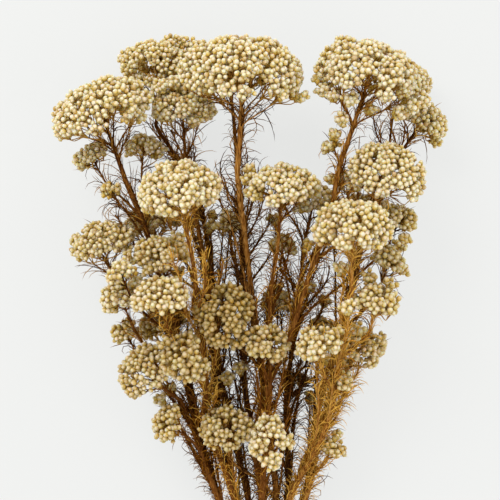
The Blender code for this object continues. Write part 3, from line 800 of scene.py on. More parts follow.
class Patterns:
    """The small shapes that are repeated: buds, stalks and needle leaves, each of unit size."""

    # For each form of bud the height of each ring of corners as a share of the whole, its radius, and the
    # whole height
    BUDS = {"bud_round": ((0.0, 0.2, 0.52, 0.84), (0.17, 0.39, 0.5, 0.31), 1.0),
            "bud_tall": ((0.0, 0.18, 0.48, 0.8), (0.15, 0.34, 0.47, 0.33), 1.14),
            "bud_squat": ((0.0, 0.24, 0.56, 0.86), (0.19, 0.43, 0.52, 0.34), 0.88)}
    BUD_SIDES = 6
    BRACTS = 3
    SCALLOP = 0.06
    STALK_ENDS = ((0, 1.2), (1, 0.9))
    NEEDLE_STEPS = 4
    NEEDLE_TAPER = 0.45

    def __init__(self) -> None:
        """Make every form and collect the ones that are picked from."""
        self.buds = self.collect("bud_forms", [self.bud(name, *form) for name, form in self.BUDS.items()])
        self.plain_buds = self.collect("plain_bud_forms", [self.plain_bud(*ball(1))])
        self.rough_buds = self.collect("rough_bud_forms", [self.plain_bud(*OCTAHEDRON)])
        self.needles = {tone: self.collect(tone.value + "_needle_forms", [
            self.needle(f"{tone.value}_needle_{k}", *np.radians(curl), NEEDLE_GIRTH[tone])
            for k, curl in enumerate(NEEDLE_CURLS)]) for tone in StemTone}
        self.stalk = linked("stalk_form", self.stalk_mesh())

    @staticmethod
    def collect(name: str, meshes: list[bpy.types.Mesh]) -> bpy.types.Collection:
        """A collection of one object for each mesh.

        Args:
            name: The collection's name.
            meshes: The forms that it holds.

        Returns:
            The collection, in the scene.
        """
        group = bpy.data.collections.new(name)
        bpy.context.scene.collection.children.link(group)
        for mesh in meshes:
            group.objects.link(bpy.data.objects.new(mesh.name, mesh))
        return group

    def bud(self, name: str, heights: tuple, widths: tuple, tall: float) -> bpy.types.Mesh:
        """A closed bud one unit wide along +Z, which stores each corner's height as "rise".

        Args:
            name: The mesh's name.
            heights: The height of each ring of corners, as a share of the whole.
            widths: The radius of each ring.
            tall: The whole height.

        Returns:
            The mesh.
        """
        rings = []
        for k, (height, width) in enumerate(zip(heights, widths)):
            turn = (np.arange(self.BUD_SIDES) + 0.5 * (k % 2)) * math.tau / self.BUD_SIDES
            scallop = width * (1 + self.SCALLOP * np.cos(turn * self.BRACTS + k * 2.1))
            rings.append(level_ring(turn, scallop, height * tall))
        mesh = rings_mesh(name, rings, np.array([0, 0, tall]))
        set_attribute(mesh, "rise", np.append(np.repeat(heights, self.BUD_SIDES), 1.0))
        return mesh

    @staticmethod
    def plain_bud(ways: np.ndarray, faces: np.ndarray) -> bpy.types.Mesh:
        """A simple bud for the layers behind, from unit directions and the faces between them.

        Args:
            ways: The directions of its corners.
            faces: The faces, as rows of corner numbers.

        Returns:
            The mesh.
        """
        mesh = bpy.data.meshes.new("plain_bud")
        mesh.from_pydata((ways * 0.52 + np.array([0, 0, 0.5])).tolist(), [], faces.tolist())
        mesh.shade_smooth()
        set_attribute(mesh, "rise", ways[:, 2] / 2 + 0.5)
        return mesh

    def stalk_mesh(self) -> bpy.types.Mesh:
        """A three-sided stalk one unit long along +Z and one unit in radius."""
        turn = np.arange(3) * math.tau / 3
        return rings_mesh("stalk_form", [level_ring(turn, size, height) for height, size in self.STALK_ENDS])

    def needle(self, name: str, bend: float, swing: float, girth: float) -> bpy.types.Mesh:
        """A three-sided needle leaf one unit long that starts along +Z.

        Args:
            name: The mesh's name.
            bend: How far it curls towards -Y over its length, in radians.
            swing: How far it drifts towards +X, in radians.
            girth: Its radius at the foot.

        Returns:
            The mesh.
        """
        turn = np.arange(3) * math.tau / 3
        centre, rings = np.zeros(3), []
        for k in range(self.NEEDLE_STEPS):
            share = k / self.NEEDLE_STEPS
            lean, veer = bend * share ** 1.2, swing * share
            ahead = np.array([math.sin(veer), -math.sin(lean) * math.cos(veer),
                              math.cos(lean) * math.cos(veer)])
            sides = square_to(ahead) if abs(ahead[2]) < 0.9 else np.array(
                [np.array([1, 0, -ahead[0]]), np.array([0, 1, -ahead[1]]), ahead])
            width = girth * (1 - self.NEEDLE_TAPER * share)
            ring = np.outer(np.cos(turn), sides[0]) + np.outer(np.sin(turn), sides[1])
            rings.append(centre + width * ring)
            centre = centre + ahead / self.NEEDLE_STEPS
        return rings_mesh(name, rings, centre)

    def clear(self) -> None:
        """Remove the pattern objects once everything has grown."""
        for group in (self.buds, self.plain_buds, self.rough_buds, *self.needles.values()):
            for item in list(group.objects):
                bpy.data.objects.remove(item)
            bpy.data.collections.remove(group)
        bpy.data.objects.remove(self.stalk)


class Coat(NodeBoard):
    """A new material with a board for its nodes."""

    def __init__(self, name: str) -> None:
        """Make a material with nothing set on its shader."""
        self.made = bpy.data.materials.new(name)
        self.made.use_nodes = True
        super().__init__(self.made.node_tree)

    @property
    def place(self) -> bpy.types.NodeSocket:
        """Where a point lies in the object."""
        return self.out("ShaderNodeTexCoord", {}, "Object")

    def noise(self, place: bpy.types.NodeSocket, scale: float, detail: float) -> bpy.types.NodeSocket:
        """Soft noise."""
        return self.out("ShaderNodeTexNoise", {"Vector": place, "Scale": scale, "Detail": detail})

    def attribute(self, name: str) -> bpy.types.NodeSocket:
        """A number that the mesh carries under a name."""
        return self.out("ShaderNodeAttribute", {}, 2, attribute_name=name)

    def ramp(self, share: bpy.types.NodeSocket, stops: tuple) -> bpy.types.NodeSocket:
        """A colour from a number, by stops of a position and a colour.

        Args:
            share: The number.
            stops: The stops from low to high.

        Returns:
            The colour.
        """
        made = self.add("ShaderNodeValToRGB", {0: share})
        elements = made.color_ramp.elements
        elements[0].position, elements[0].color = stops[0]
        elements[1].position, elements[1].color = stops[-1]
        for position, colour in stops[1:-1]:
            elements.new(position).color = colour
        return made.outputs[0]

    def mixed(self, blend: str, share: object, first: object, second: object) -> bpy.types.NodeSocket:
        """Two colours laid over each other."""
        return self.out("ShaderNodeMix", {"Factor": share, "A": first, "B": second}, "Result",
                        data_type="RGBA", blend_type=blend)

    def bumps(self, height: bpy.types.NodeSocket, strength: float, distance: float) -> bpy.types.NodeSocket:
        """Normals that follow a height."""
        return self.out("ShaderNodeBump", {"Height": height, "Strength": strength, "Distance": distance})

    def finish(self, inputs: dict) -> bpy.types.Material:
        """Give the shader its inputs and hand back the material."""
        self.feed(self.tree.nodes["Principled BSDF"], inputs)
        return self.made


@dataclass(frozen=True)
class BudFinish:
    """Papery bracts: olive gold at a bud's foot, warm white at its tip, each bud a little different.

    The darker foot is partly painted shade between the buds, and a darker olive tint adds age and painted
    shade.
    """

    name: str = "cream_buds"
    # From foot to tip: partly the bracts' own colour and partly painted shade, darkest at the feet deep
    # between the buds.
    body: tuple = ((0.05, (0.50, 0.29, 0.018, 1)), (0.36, (0.65, 0.46, 0.085, 1)),
                   (0.64, (0.73, 0.60, 0.30, 1)), (0.92, (0.85, 0.80, 0.68, 1)))
    # Painted shade and age: a darker olive tint, and how far it shifts a bud toward its darker foot colour.
    age_and_shade_tint: tuple = (0.67, 0.60, 0.46, 1)
    age_and_shade_sink: float = 0.1
    tints: tuple = ((0.0, (0.66, 0.52, 0.32, 1)), (0.12, (0.92, 0.86, 0.70, 1)), (0.5, (1.0, 0.98, 0.95, 1)),
                    (0.82, (0.92, 0.93, 0.80, 1)), (1.0, (0.98, 0.92, 0.88, 1)))
    mottle_scale: float = 900.0
    mottle: float = 0.5
    roughness: float = 0.5
    gloss: float = 0.35
    glow_through: float = 0.35
    glow_reach: tuple = (0.0014, 0.0009, 0.0003)

    def material(self) -> bpy.types.Material:
        """The buds' material.

        Returns:
            The new material.
        """
        coat = Coat(self.name)
        mottle = coat.noise(coat.place, self.mottle_scale, 2.0)
        uneven = coat.math("MULTIPLY", coat.math("SUBTRACT", mottle, 0.5), self.mottle)
        height = coat.math("ADD", coat.attribute("rise"), uneven)
        # Painted shade and age: buds with more of this value take more of the foot colour and of the darker
        # olive tint.
        height = coat.math("MULTIPLY_ADD", coat.attribute("age"), -self.age_and_shade_sink, height)
        tint = coat.ramp(coat.attribute("tone"), self.tints)
        tinted = coat.mixed("MULTIPLY", 1.0, coat.ramp(height, self.body), tint)
        return coat.finish({
            "Base Color": coat.mixed("MULTIPLY", coat.attribute("age"), tinted, self.age_and_shade_tint),
            "Roughness": self.roughness, "Specular IOR Level": self.gloss,
            "Subsurface Weight": self.glow_through, "Subsurface Radius": self.glow_reach,
            "Subsurface Scale": 1.0, "Normal": coat.bumps(mottle, 0.25, 0.0003)})


@dataclass(frozen=True)
class PlantFinish:
    """Dry bark or leaf: streaks between a deep and a pale brown, darker in the grain."""

    name: str
    deep: tuple
    middle: tuple
    pale: tuple
    grain_scale: float = 1400.0
    stretch: float = 0.07
    tone_share: float = 0.3
    paler_from: float = 0.0
    paler_to: float = 0.14
    paler: float = 0.11
    cut_wood: tuple = ()
    cut_to: float = 0.985
    roughness: float = 0.8
    gloss: float = 0.06
    relief: float = 0.4

    def material(self) -> bpy.types.Material:
        """The material, with pale ringed wood where a stem is cut if the finish has it.

        Returns:
            The new material.
        """
        coat = Coat(self.name)
        drawn = coat.vector_math("MULTIPLY", coat.place, (1.0, self.stretch, 1.0))
        grain = coat.noise(drawn, self.grain_scale, 3.0)
        tone = coat.math("SUBTRACT", coat.attribute("tone"), 0.5)
        share = coat.math("MULTIPLY_ADD", tone, self.tone_share, grain)
        lift = coat.out("ShaderNodeMapRange", {
            "Value": coat.out("ShaderNodeSeparateXYZ", {0: coat.place}, "Y"),
            "From Min": self.paler_from, "From Max": self.paler_to,
            "To Min": -0.5 * self.paler, "To Max": 0.5 * self.paler}, "Result")
        share = coat.math("ADD", share, lift)
        colour = coat.ramp(share, ((0.3, self.deep), (0.5, self.middle), (0.72, self.pale)))
        if self.cut_wood:
            ring = coat.attribute("ring")
            inside = coat.math("LESS_THAN", ring, self.cut_to)
            colour = coat.mixed("MIX", inside, colour, coat.ramp(ring, self.cut_wood))
        return coat.finish({
            "Base Color": colour, "Roughness": self.roughness, "Specular IOR Level": self.gloss,
            "Normal": coat.bumps(grain, self.relief, 0.0004)})


@dataclass(frozen=True)
class LatexFinish:
    """Natural rubber: amber, a little waxy and dusty."""

    name: str = "rubber_band"
    clear: tuple = (0.62, 0.42, 0.19, 1)
    dusty: tuple = (0.72, 0.58, 0.38, 1)
    roughness: float = 0.5

    def material(self) -> bpy.types.Material:
        """The band's material."""
        coat = Coat(self.name)
        dust = coat.noise(coat.place, 700.0, 4.0)
        return coat.finish({"Base Color": coat.ramp(dust, ((0.35, self.clear), (0.7, self.dusty))),
                            "Roughness": self.roughness, "Subsurface Weight": 0.1, "Subsurface Scale": 0.001})


@dataclass(frozen=True)
class FloorFinish:
    """A plain, pale, matte floor."""

    name: str = "pale_floor"
    colour: tuple = (0.13, 0.131, 0.131, 1)
    light: tuple = (0.86, 0.875, 0.87, 1)
    glow: float = 0.825

    def material(self) -> bpy.types.Material:
        """The floor's material."""
        return Coat(self.name).finish({"Base Color": self.colour, "Roughness": 1.0,
                                       "Emission Color": self.light, "Emission Strength": self.glow})


@dataclass(frozen=True)
class Finishes:
    """The finishes of the whole bunch."""

    buds: BudFinish = BudFinish()
    stalks: PlantFinish = PlantFinish(
        "flower_stalks", (0.22, 0.09, 0.010, 1), (0.46, 0.23, 0.035, 1), (0.62, 0.39, 0.10, 1))
    golden: PlantFinish = PlantFinish(
        "golden_bark", (0.15, 0.052, 0.009, 1), (0.39, 0.175, 0.033, 1), (0.58, 0.33, 0.10, 1),
        cut_wood=((0.0, (0.16, 0.08, 0.03, 1)), (0.25, (0.55, 0.40, 0.22, 1)), (0.6, (0.68, 0.53, 0.32, 1)),
                  (0.95, (0.42, 0.27, 0.12, 1))))
    dark: PlantFinish = PlantFinish(
        "dark_bark", (0.030, 0.007, 0.001, 1), (0.10, 0.031, 0.004, 1), (0.24, 0.095, 0.016, 1),
        cut_wood=((0.0, (0.10, 0.05, 0.02, 1)), (0.25, (0.40, 0.28, 0.15, 1)), (0.6, (0.55, 0.41, 0.24, 1)),
                  (0.95, (0.25, 0.15, 0.07, 1))))
    golden_leaf: PlantFinish = PlantFinish(
        "golden_needles", (0.14, 0.042, 0.002, 1), (0.50, 0.20, 0.012, 1), (0.80, 0.47, 0.085, 1),
        tone_share=0.75)
    dark_leaf: PlantFinish = PlantFinish(
        "brown_needles", (0.045, 0.012, 0.001, 1), (0.17, 0.062, 0.006, 1), (0.42, 0.20, 0.03, 1),
        tone_share=0.75)
    latex: LatexFinish = LatexFinish()
    floor: FloorFinish = FloorFinish()


@dataclass(frozen=True)
class BudLayer:
    """One layer of buds: spacing and bud size against the head's own, and in mm its depth and unevenness."""

    apart: float
    sink: float
    uneven: float
    size: float
    age: float
    forms: str


# The fifth column is each layer's share of the darker olive tint, partly its own golden colour and partly
# painted shade between the buds.
LAYERS = (
    BudLayer(1.0, 0.1, 1.2, 1.0, 0.0, "buds"),
    BudLayer(1.05, 2.2, 0.8, 0.97, 0.1, "plain_buds"),
    BudLayer(1.15, 4.3, 0.8, 1.15, 0.2, "rough_buds"),
)
LAYER_SEED_STEP = 37.0
BUD_SIZES = (0.86, 1.14)
TRIES_PER_SQUARE_METRE = 1.2e6
AIM_SPREAD = 0.4
STALK_GIRTH = 0.2
REST_DEPTH = 1.2
RESTING = {"back_mid_head_1", "left_back_head_3", "right_tall_head_4"}


class HeadTree(GrowthTree):
    """Stands buds in layers under a dome's skin, each on a stalk from the fork of its own umbel."""

    def __init__(self, patterns: Patterns) -> None:
        """Lay out the tree.

        Args:
            patterns: The forms of buds and stalks that it stands up.
        """
        super().__init__("head_growth", {
            "Seed": "Int", "Age": "Float", "Apart": "Float", "Size": "Float", "Bud": "Material",
            "Stalk": "Material"})
        self.patterns = patterns
        parts = [part for number, layer in enumerate(LAYERS) for part in self.layer(layer, number)]
        joined = self.out("GeometryNodeJoinGeometry", {"Geometry": parts})
        whole = self.out("GeometryNodeRealizeInstances", {"Geometry": joined})
        is_bud = self.compare("GREATER_THAN", self.attribute("bud"), 0.5)
        self.finish([self.painted(self.painted(whole, "Stalk"), "Bud", Selection=is_bud)])

    def layer(self, layer: BudLayer, number: int) -> list[bpy.types.NodeSocket]:
        """The buds and stalks of one layer.

        Args:
            layer: The layer.
            number: Its place from the outside, which is 0 for the one with stalks.

        Returns:
            The buds, and the stalks of the outer layer.
        """
        seed = self.reseeded(self.given["Seed"], LAYER_SEED_STEP * number)
        spread = self.add("GeometryNodeDistributePointsOnFaces", {
            "Mesh": self.given["Geometry"],
            "Distance Min": self.math("MULTIPLY", self.given["Apart"], layer.apart),
            "Density Max": TRIES_PER_SQUARE_METRE, "Density Factor": self.attribute("fullness"),
            "Seed": seed}, distribute_method="POISSON")
        fork = self.attribute("fork", "FLOAT_VECTOR")
        stray = self.random((-AIM_SPREAD,) * 3, (AIM_SPREAD,) * 3, seed, "FLOAT_VECTOR")
        from_fork = self.vector_math("SUBTRACT", self.out("GeometryNodeInputPosition"), fork)
        aim = self.vector_math("ADD", self.vector_math("NORMALIZE", from_fork), spread.outputs["Normal"])
        aim = self.vector_math("NORMALIZE", self.vector_math("ADD", aim, stray))
        aimed, aim = self.marked(spread.outputs["Points"], "aim", aim)
        size = self.math("MULTIPLY", self.given["Size"],
                         self.random(*(share * layer.size for share in BUD_SIZES), seed))
        depth = self.random((layer.sink - layer.uneven / 2) * MM, (layer.sink + layer.uneven) * MM,
                            self.reseeded(seed, 1.0))
        back = self.math("MULTIPLY", self.math("ADD", size, depth), -1.0)
        feet = self.moved(aimed, Offset=self.vector_math("SCALE", aim, back))
        turned = self.standing(aim, self.random(0.0, math.tau, self.reseeded(seed, 2.0)))
        forms = getattr(self.patterns, layer.forms)
        buds = self.from_forms(feet, forms, len(forms.objects), turned, size, seed)
        # Partly age and partly painted shade: each layer further in adds its own share of the darker tint.
        age = self.math("ADD", self.given["Age"], layer.age)
        buds = self.kept(self.kept(buds, "bud", 1.0), "age", self.math("MINIMUM", age, 1.0))
        buds = self.kept(buds, "tone", self.random(0.0, 1.0, self.reseeded(seed, 3.0)))
        return [buds] if number else [buds, self.stalks(feet, seed)]

    def stalks(self, feet: bpy.types.NodeSocket, seed: object) -> bpy.types.NodeSocket:
        """A stalk from each umbel's fork to each of its buds.

        Args:
            feet: Where the buds' feet are.
            seed: The layer's seed.

        Returns:
            The stalks as instances.
        """
        fork = self.attribute("fork", "FLOAT_VECTOR")
        reach = self.vector_math("SUBTRACT", self.out("GeometryNodeInputPosition"), fork)
        roots, reach = self.marked(feet, "reach", reach)
        long = self.out("ShaderNodeVectorMath", {0: reach}, "Value", operation="LENGTH")
        girth = STALK_GIRTH * MM
        made = self.out("GeometryNodeInstanceOnPoints", {
            "Points": self.moved(roots, Position=fork),
            "Instance": self.out("GeometryNodeObjectInfo", {"Object": self.patterns.stalk}, "Geometry"),
            "Rotation": self.standing(reach, self.random(0.0, math.tau, seed)),
            "Scale": self.out("ShaderNodeCombineXYZ", {"X": girth, "Y": girth, "Z": long})})
        return self.kept(made, "tone", self.random(0.0, 1.0, seed))


class Tier(Enum):
    """How stout a strand is."""

    TRUNK = 0
    LIMB = 1
    RAY = 2


TIER_SIDES = {Tier.TRUNK: 9, Tier.LIMB: 5, Tier.RAY: 3}


class StemTree(GrowthTree):
    """Turns strands into bark and stalks, and sets needle leaves along the leafy ones."""

    SEATED = 0.85
    LEAST_LEAN = 0.45
    STRAY_LEAN = 1.9

    def __init__(self) -> None:
        """Lay out the needles, and a tube for each tier of strands."""
        super().__init__("stem_growth", {
            "Seed": "Int", "Pale": "Float", "Long": "Float", "Forms": "Collection", "Bark": "Material",
            "Stalk": "Material", "Leaf": "Material"})
        curves = self.out("GeometryNodeMeshToCurve", {"Mesh": self.given["Geometry"]})
        leaves = self.out("GeometryNodeRealizeInstances", {"Geometry": self.needles(curves)})
        parts = [self.painted(leaves, "Leaf")]
        for tier in Tier:
            chosen = self.compare("EQUAL", self.attribute("tier"), float(tier.value))
            strands = self.chosen(curves, chosen, "CURVE")
            parts.append(self.painted(self.tube(strands, TIER_SIDES[tier]),
                                      "Stalk" if tier is Tier.RAY else "Bark"))
        self.finish(parts)

    def chosen(self, geometry: object, selection: object, domain: str) -> bpy.types.NodeSocket:
        """The selected points or curves."""
        return self.out("GeometryNodeSeparateGeometry", {"Geometry": geometry, "Selection": selection},
                        domain=domain)

    def tube(self, curves: bpy.types.NodeSocket, sides: int) -> bpy.types.NodeSocket:
        """A closed tube along each strand, as thick as its girth.

        Args:
            curves: The strands.
            sides: How many sides the tube has.

        Returns:
            The tubes.
        """
        round_ = self.out("GeometryNodeCurvePrimitiveCircle", {"Resolution": sides, "Radius": 1.0}, "Curve")
        tube = self.out("GeometryNodeCurveToMesh", {
            "Curve": curves, "Profile Curve": round_, "Scale": self.attribute("girth"), "Fill Caps": True})
        return self.out("GeometryNodeSetShadeSmooth", {"Geometry": tube})

    def needles(self, curves: bpy.types.NodeSocket) -> bpy.types.NodeSocket:
        """Needle leaves in a spiral up the strands, more of them where a strand is leafier.

        Args:
            curves: The strands.

        Returns:
            The needles as instances.
        """
        seed = self.given["Seed"]
        spots = self.add("GeometryNodeCurveToPoints", {"Curve": curves, "Length": NEEDLE_PITCH * MM},
                         mode="LENGTH")
        leafy = self.compare("LESS_THAN", self.random(0.0, 1.0, seed), self.attribute("leafy"))
        points, ahead = self.marked(spots.outputs["Points"], "ahead", spots.outputs["Tangent"])
        points, order = self.marked(points, "order", self.out("GeometryNodeInputIndex"), "FLOAT")
        turn = self.math("MULTIPLY_ADD", order, GOLDEN_ANGLE,
                         self.random(-0.5, 0.5, self.reseeded(seed, 1.0)))
        turned = self.standing(ahead, turn)
        points, sitting = self.marked(self.chosen(points, leafy, "POINT"), "sitting", turned, "QUATERNION")
        outward = self.out("FunctionNodeRotateVector", {"Vector": (0.0, -1.0, 0.0), "Rotation": turned})
        girth = self.math("MULTIPLY", self.attribute("girth"), self.SEATED)
        points = self.moved(points, Offset=self.vector_math("SCALE", outward, girth))
        stray = self.math("POWER", self.random(0.0, 1.0, self.reseeded(seed, 2.0)), 3.0)
        stray = self.math("MULTIPLY_ADD", stray, self.STRAY_LEAN, self.LEAST_LEAN)
        leaned = self.spin(sitting, self.math("MULTIPLY", self.attribute("spread"), stray), 0.0)
        share = self.math("POWER", self.random(0.0, 1.0, self.reseeded(seed, 3.0)), 1.3)
        long = self.math("MULTIPLY_ADD", share, (NEEDLE_LONGEST - NEEDLE_SHORTEST) * MM,
                         NEEDLE_SHORTEST * MM)
        long = self.math("MULTIPLY", long, self.given["Long"])
        made = self.from_forms(points, self.given["Forms"], len(NEEDLE_CURLS), leaned, long, seed)
        shade = self.random(0.0, 1.0, self.reseeded(seed, 4.0))
        # Pale shifts the needles' tone: partly their own tone and partly painted light on strongly lit stems.
        return self.kept(made, "tone", self.math("ADD", shade, self.given["Pale"]))


@dataclass
class Strand:
    """A line that becomes a tube, with its radius, how leafy it is and its share of a cut face along it."""

    points: np.ndarray
    girth: np.ndarray
    leafy: np.ndarray
    ring: np.ndarray
    tier: Tier


class Bunch:
    """The dressed bunch: its pieces, the frame they stand in, and the trees they grow from."""

    SEED_STEP = 11
    SIDE_SEED = 700

    def __init__(self) -> None:
        """Find the bunch's place from the band, and make the trees and materials."""
        low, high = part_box("bunch_band")
        self.shift = np.array([(low.x + high.x) / 2, (low.y + high.y) / 2 - TIE_Y * MM,
                               (low.z + high.z) / 2 - TIE_Z * MM])
        self.finishes = Finishes()
        self.patterns = Patterns()
        self.head_tree = HeadTree(self.patterns)
        self.stem_tree = StemTree()
        self.materials = {
            name: getattr(self.finishes, name).material()
            for name in ("buds", "stalks", "golden", "dark", "golden_leaf", "dark_leaf", "latex")}

    def place(self, points: np.ndarray) -> np.ndarray:
        """Bunch millimetres as metres in the row frame."""
        return points * MM + self.shift

    def add_piece(self, name: str, mesh: bpy.types.Mesh, node: str) -> bpy.types.Object:
        """Make a piece of the bunch.

        Args:
            name: The piece's name.
            mesh: Its mesh, in the row frame.
            node: The solid that it stands for, or nothing.

        Returns:
            The new object.
        """
        places = np.empty(len(mesh.vertices) * 3, np.float32)
        mesh.vertices.foreach_get("co", places)
        places[2::3] = np.maximum(places[2::3], 0.0)
        mesh.vertices.foreach_set("co", places)
        mesh.update()
        mesh.name = name
        item = linked(name, mesh)
        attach(item, "root")
        if node:
            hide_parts(node)
        log.info("%s: %d faces", name, len(mesh.polygons))
        return item

    def dress(self) -> None:
        """Lay the stems and put every piece in place."""
        StemLayout(STEMS).lay()
        for order, stem in enumerate(STEMS):
            heads = []
            for number, head in enumerate(stem.heads, 1):
                node = f"{stem.name}_head_{number}"
                heads.append(BudHead(name=node + "_buds", node=node, seed=order * self.SEED_STEP + number,
                                     head=head))
                heads[-1].build(self)
            leafy = LeafyStem(stem=stem, heads=heads, seed=order)
            leafy.build(self)
            SideUmbels(name=stem.name + "_side_umbels", seed=self.SIDE_SEED + order,
                       umbels=leafy.umbels()).build(self)
        RubberBand().build(self)
        self.patterns.clear()


@dataclass
class Patch:
    """A stretch of skin that buds stand under, in bunch millimetres, and the fork each face grows from."""

    points: np.ndarray
    faces: np.ndarray
    fullness: np.ndarray
    forks: np.ndarray


UMBEL_STALK = 6
UMBEL_RISE = 0.7
UMBEL_RIM = -0.1


@dataclass(frozen=True)
class Umbel:
    """A small round cluster of buds: the fork of its stalks, the way it faces, its reach and its radius."""

    fork: np.ndarray
    aim: np.ndarray
    reach: float
    radius: float

    @classmethod
    def around(cls, middle: np.ndarray, aim: np.ndarray, radius: float) -> "Umbel":
        """An umbel round a given middle, which faces along an aim of any length.

        Args:
            middle: The middle of its rim.
            aim: The way it faces.
            radius: Its radius.

        Returns:
            The umbel.
        """
        aim = aim / np.linalg.norm(aim)
        return cls(middle - aim * UMBEL_STALK, aim, UMBEL_STALK + UMBEL_RISE * radius, radius)

    def patch(self) -> Patch:
        """The cluster's skin.

        Returns:
            A patch under which its buds stand.
        """
        ways, faces = ball(3)
        faces = faces[(ways[faces][:, :, 2] > UMBEL_RIM).all(axis=1)]
        middle = self.fork + self.aim * (self.reach - UMBEL_RISE * self.radius)
        points = middle + (ways * self.radius * np.array([1, 1, UMBEL_RISE])) @ square_to(self.aim)
        return Patch(points, faces, np.ones(len(ways)), np.tile(self.fork, (len(faces), 1)))


@dataclass(kw_only=True)
class BudCluster:
    """Buds and stalks grown on one or more patches, as one piece."""

    name: str
    seed: int
    node: str = ""
    size: float = 3.1
    apart: float = 0.95
    # How much darker olive tint the buds get, partly age and partly painted shade: a value of the cluster's
    # own, plus more the lower it sits below the highest height.
    age: float = 0.0
    highest: float = 92.0
    depth_shade_range: float = 0.8

    def patches(self) -> list[Patch]:
        """The patches that the buds stand under."""
        raise NotImplementedError

    def build(self, bunch: Bunch) -> None:
        """Grow the buds and their stalks.

        Args:
            bunch: The bunch that takes it in.
        """
        patches = self.patches()
        if not patches:
            return
        starts = np.cumsum([0] + [len(patch.points) for patch in patches[:-1]])
        points = np.concatenate([patch.points for patch in patches])
        faces = np.concatenate([patch.faces + start for patch, start in zip(patches, starts)])
        seat = bpy.data.meshes.new("seat")
        seat.from_pydata(bunch.place(points).tolist(), [], faces.tolist())
        set_attribute(seat, "fullness", np.concatenate([patch.fullness for patch in patches]))
        set_attribute(seat, "fork", bunch.place(np.concatenate([patch.forks for patch in patches])), "FACE")
        # Painted shade: the lower a cluster sits in the bunch, the darker its buds are tinted.
        depth = (self.highest - np.median(points[:, 2])) / self.highest
        mesh = bunch.head_tree.grow(seat, {
            "Seed": self.seed, "Age": float(np.clip(depth, 0, 1) * self.depth_shade_range + self.age),
            "Apart": self.apart * self.size * MM, "Size": self.size * MM,
            "Bud": bunch.materials["buds"], "Stalk": bunch.materials["stalks"]})
        bpy.data.meshes.remove(seat)
        bunch.add_piece(self.name, mesh, self.node)


@dataclass(frozen=True)
class HeadForm:
    """How a head departs from a round dome: drawn out up its face, narrower there, aged, looser, flatter.

    Its age also stands for painted shade, darkening heads that lie in the shade of others.
    """

    tall: float = 1.0
    taper: float = 0.0
    age: float = 0.0
    loose: float = 0.0
    flat: float = 0.0


# Each head's age value darkens it with a darker olive tint, partly age and partly painted shade where other
# heads shade it; negative values lighten it.
HEAD_FORMS = {
    "centre_tall_head_2": HeadForm(tall=1.32, age=0.9, loose=0.1),
    "centre_tall_head_3": HeadForm(taper=0.1, age=0.25, loose=0.1),
    "mid_front_head_1": HeadForm(flat=0.08),
    "mid_front_head_2": HeadForm(tall=1.1, age=0.5, loose=0.08),
    "mid_front_head_3": HeadForm(tall=1.25, taper=0.3, loose=0.09),
    "left_front_head_3": HeadForm(tall=1.15, taper=-0.1, age=0.45, loose=0.1),
    "left_outer_head_1": HeadForm(age=0.1, loose=0.06),
    "left_outer_head_2": HeadForm(age=-0.55),
    "left_outer_head_3": HeadForm(age=-0.3),
    "left_outer_head_4": HeadForm(tall=1.2, age=0.1, loose=0.09),
    "left_mid_head_3": HeadForm(age=-0.3),
    "left_far_head_1": HeadForm(flat=0.1),
    "left_far_head_2": HeadForm(age=-0.4, flat=0.15),
    "left_far_head_4": HeadForm(age=-0.2, flat=0.2),
    "left_back_head_2": HeadForm(age=-0.4, flat=0.1),
    "right_front_head_2": HeadForm(tall=0.9, loose=0.08),
    "right_front_head_3": HeadForm(tall=0.9, loose=0.05),
    "right_outer_head_1": HeadForm(tall=0.9, loose=0.09),
    "right_tall_head_1": HeadForm(age=-0.3),
}

# Umbels that close the gaps between heads where the photo has them merge: a middle and a radius each
MERGING = {
    "left_back_head_1": [(-45.5, 430, 25, 6), (-39, 428, 26, 6), (-33, 427, 28, 5.5), (-51.5, 431, 25, 5.5),
                         (-62, 406, 33, 6), (-54, 408, 34, 6), (-70, 409, 29, 5.5), (-47, 412, 32, 6)],
    "left_mid_head_1": [(-56.5, 402, 47, 6.5), (-49.5, 404, 48, 6.5), (-42, 407, 46, 6.5), (-63, 397, 48, 6),
                        (-30, 389, 46, 6), (-38, 384, 42, 5.5)],
    "right_tall_head_1": [(32.5, 398, 66, 5), (38.5, 395, 70, 5.5), (47, 392, 78, 5.5), (81, 388, 72, 6),
                          (74, 384, 76, 5.5), (88, 392, 66, 6), (42.5, 382, 68, 5), (60, 388, 64, 5)],
    "right_tall_head_2": [(40, 375, 58, 4.5)],
    "back_right_head_2": [(38, 351, 48, 5)],
    "right_outer_head_2": [(42, 208, 46, 4.5)],
    "centre_tall_head_1": [(22, 394, 74, 4.5)],
    "right_back_head_4": [(75.5, 313, 56, 5.5), (79, 317, 52, 5)],
    "right_front_head_3": [(68.5, 293, 76, 5.5), (57, 297, 76, 5.5)],
    "left_mid_head_2": [(-73, 307, 62, 5.5), (-46, 318, 66, 5.5)],
    "left_outer_head_2": [(-68, 294, 60, 5.5), (-84, 280, 54, 5)],
    "mid_front_head_1": [(27, 344, 66, 6), (-8, 349, 68, 5), (-7.5, 355, 66, 4.5)],
    "right_front_head_2": [(40, 268, 82, 5), (20, 258, 82, 4.5)],
    "right_outer_head_1": [(52, 268, 60, 5.5), (66, 262, 56, 5)],
    "left_front_head_3": [(-52, 262, 78, 5.5), (-34, 244, 76, 5)],
}


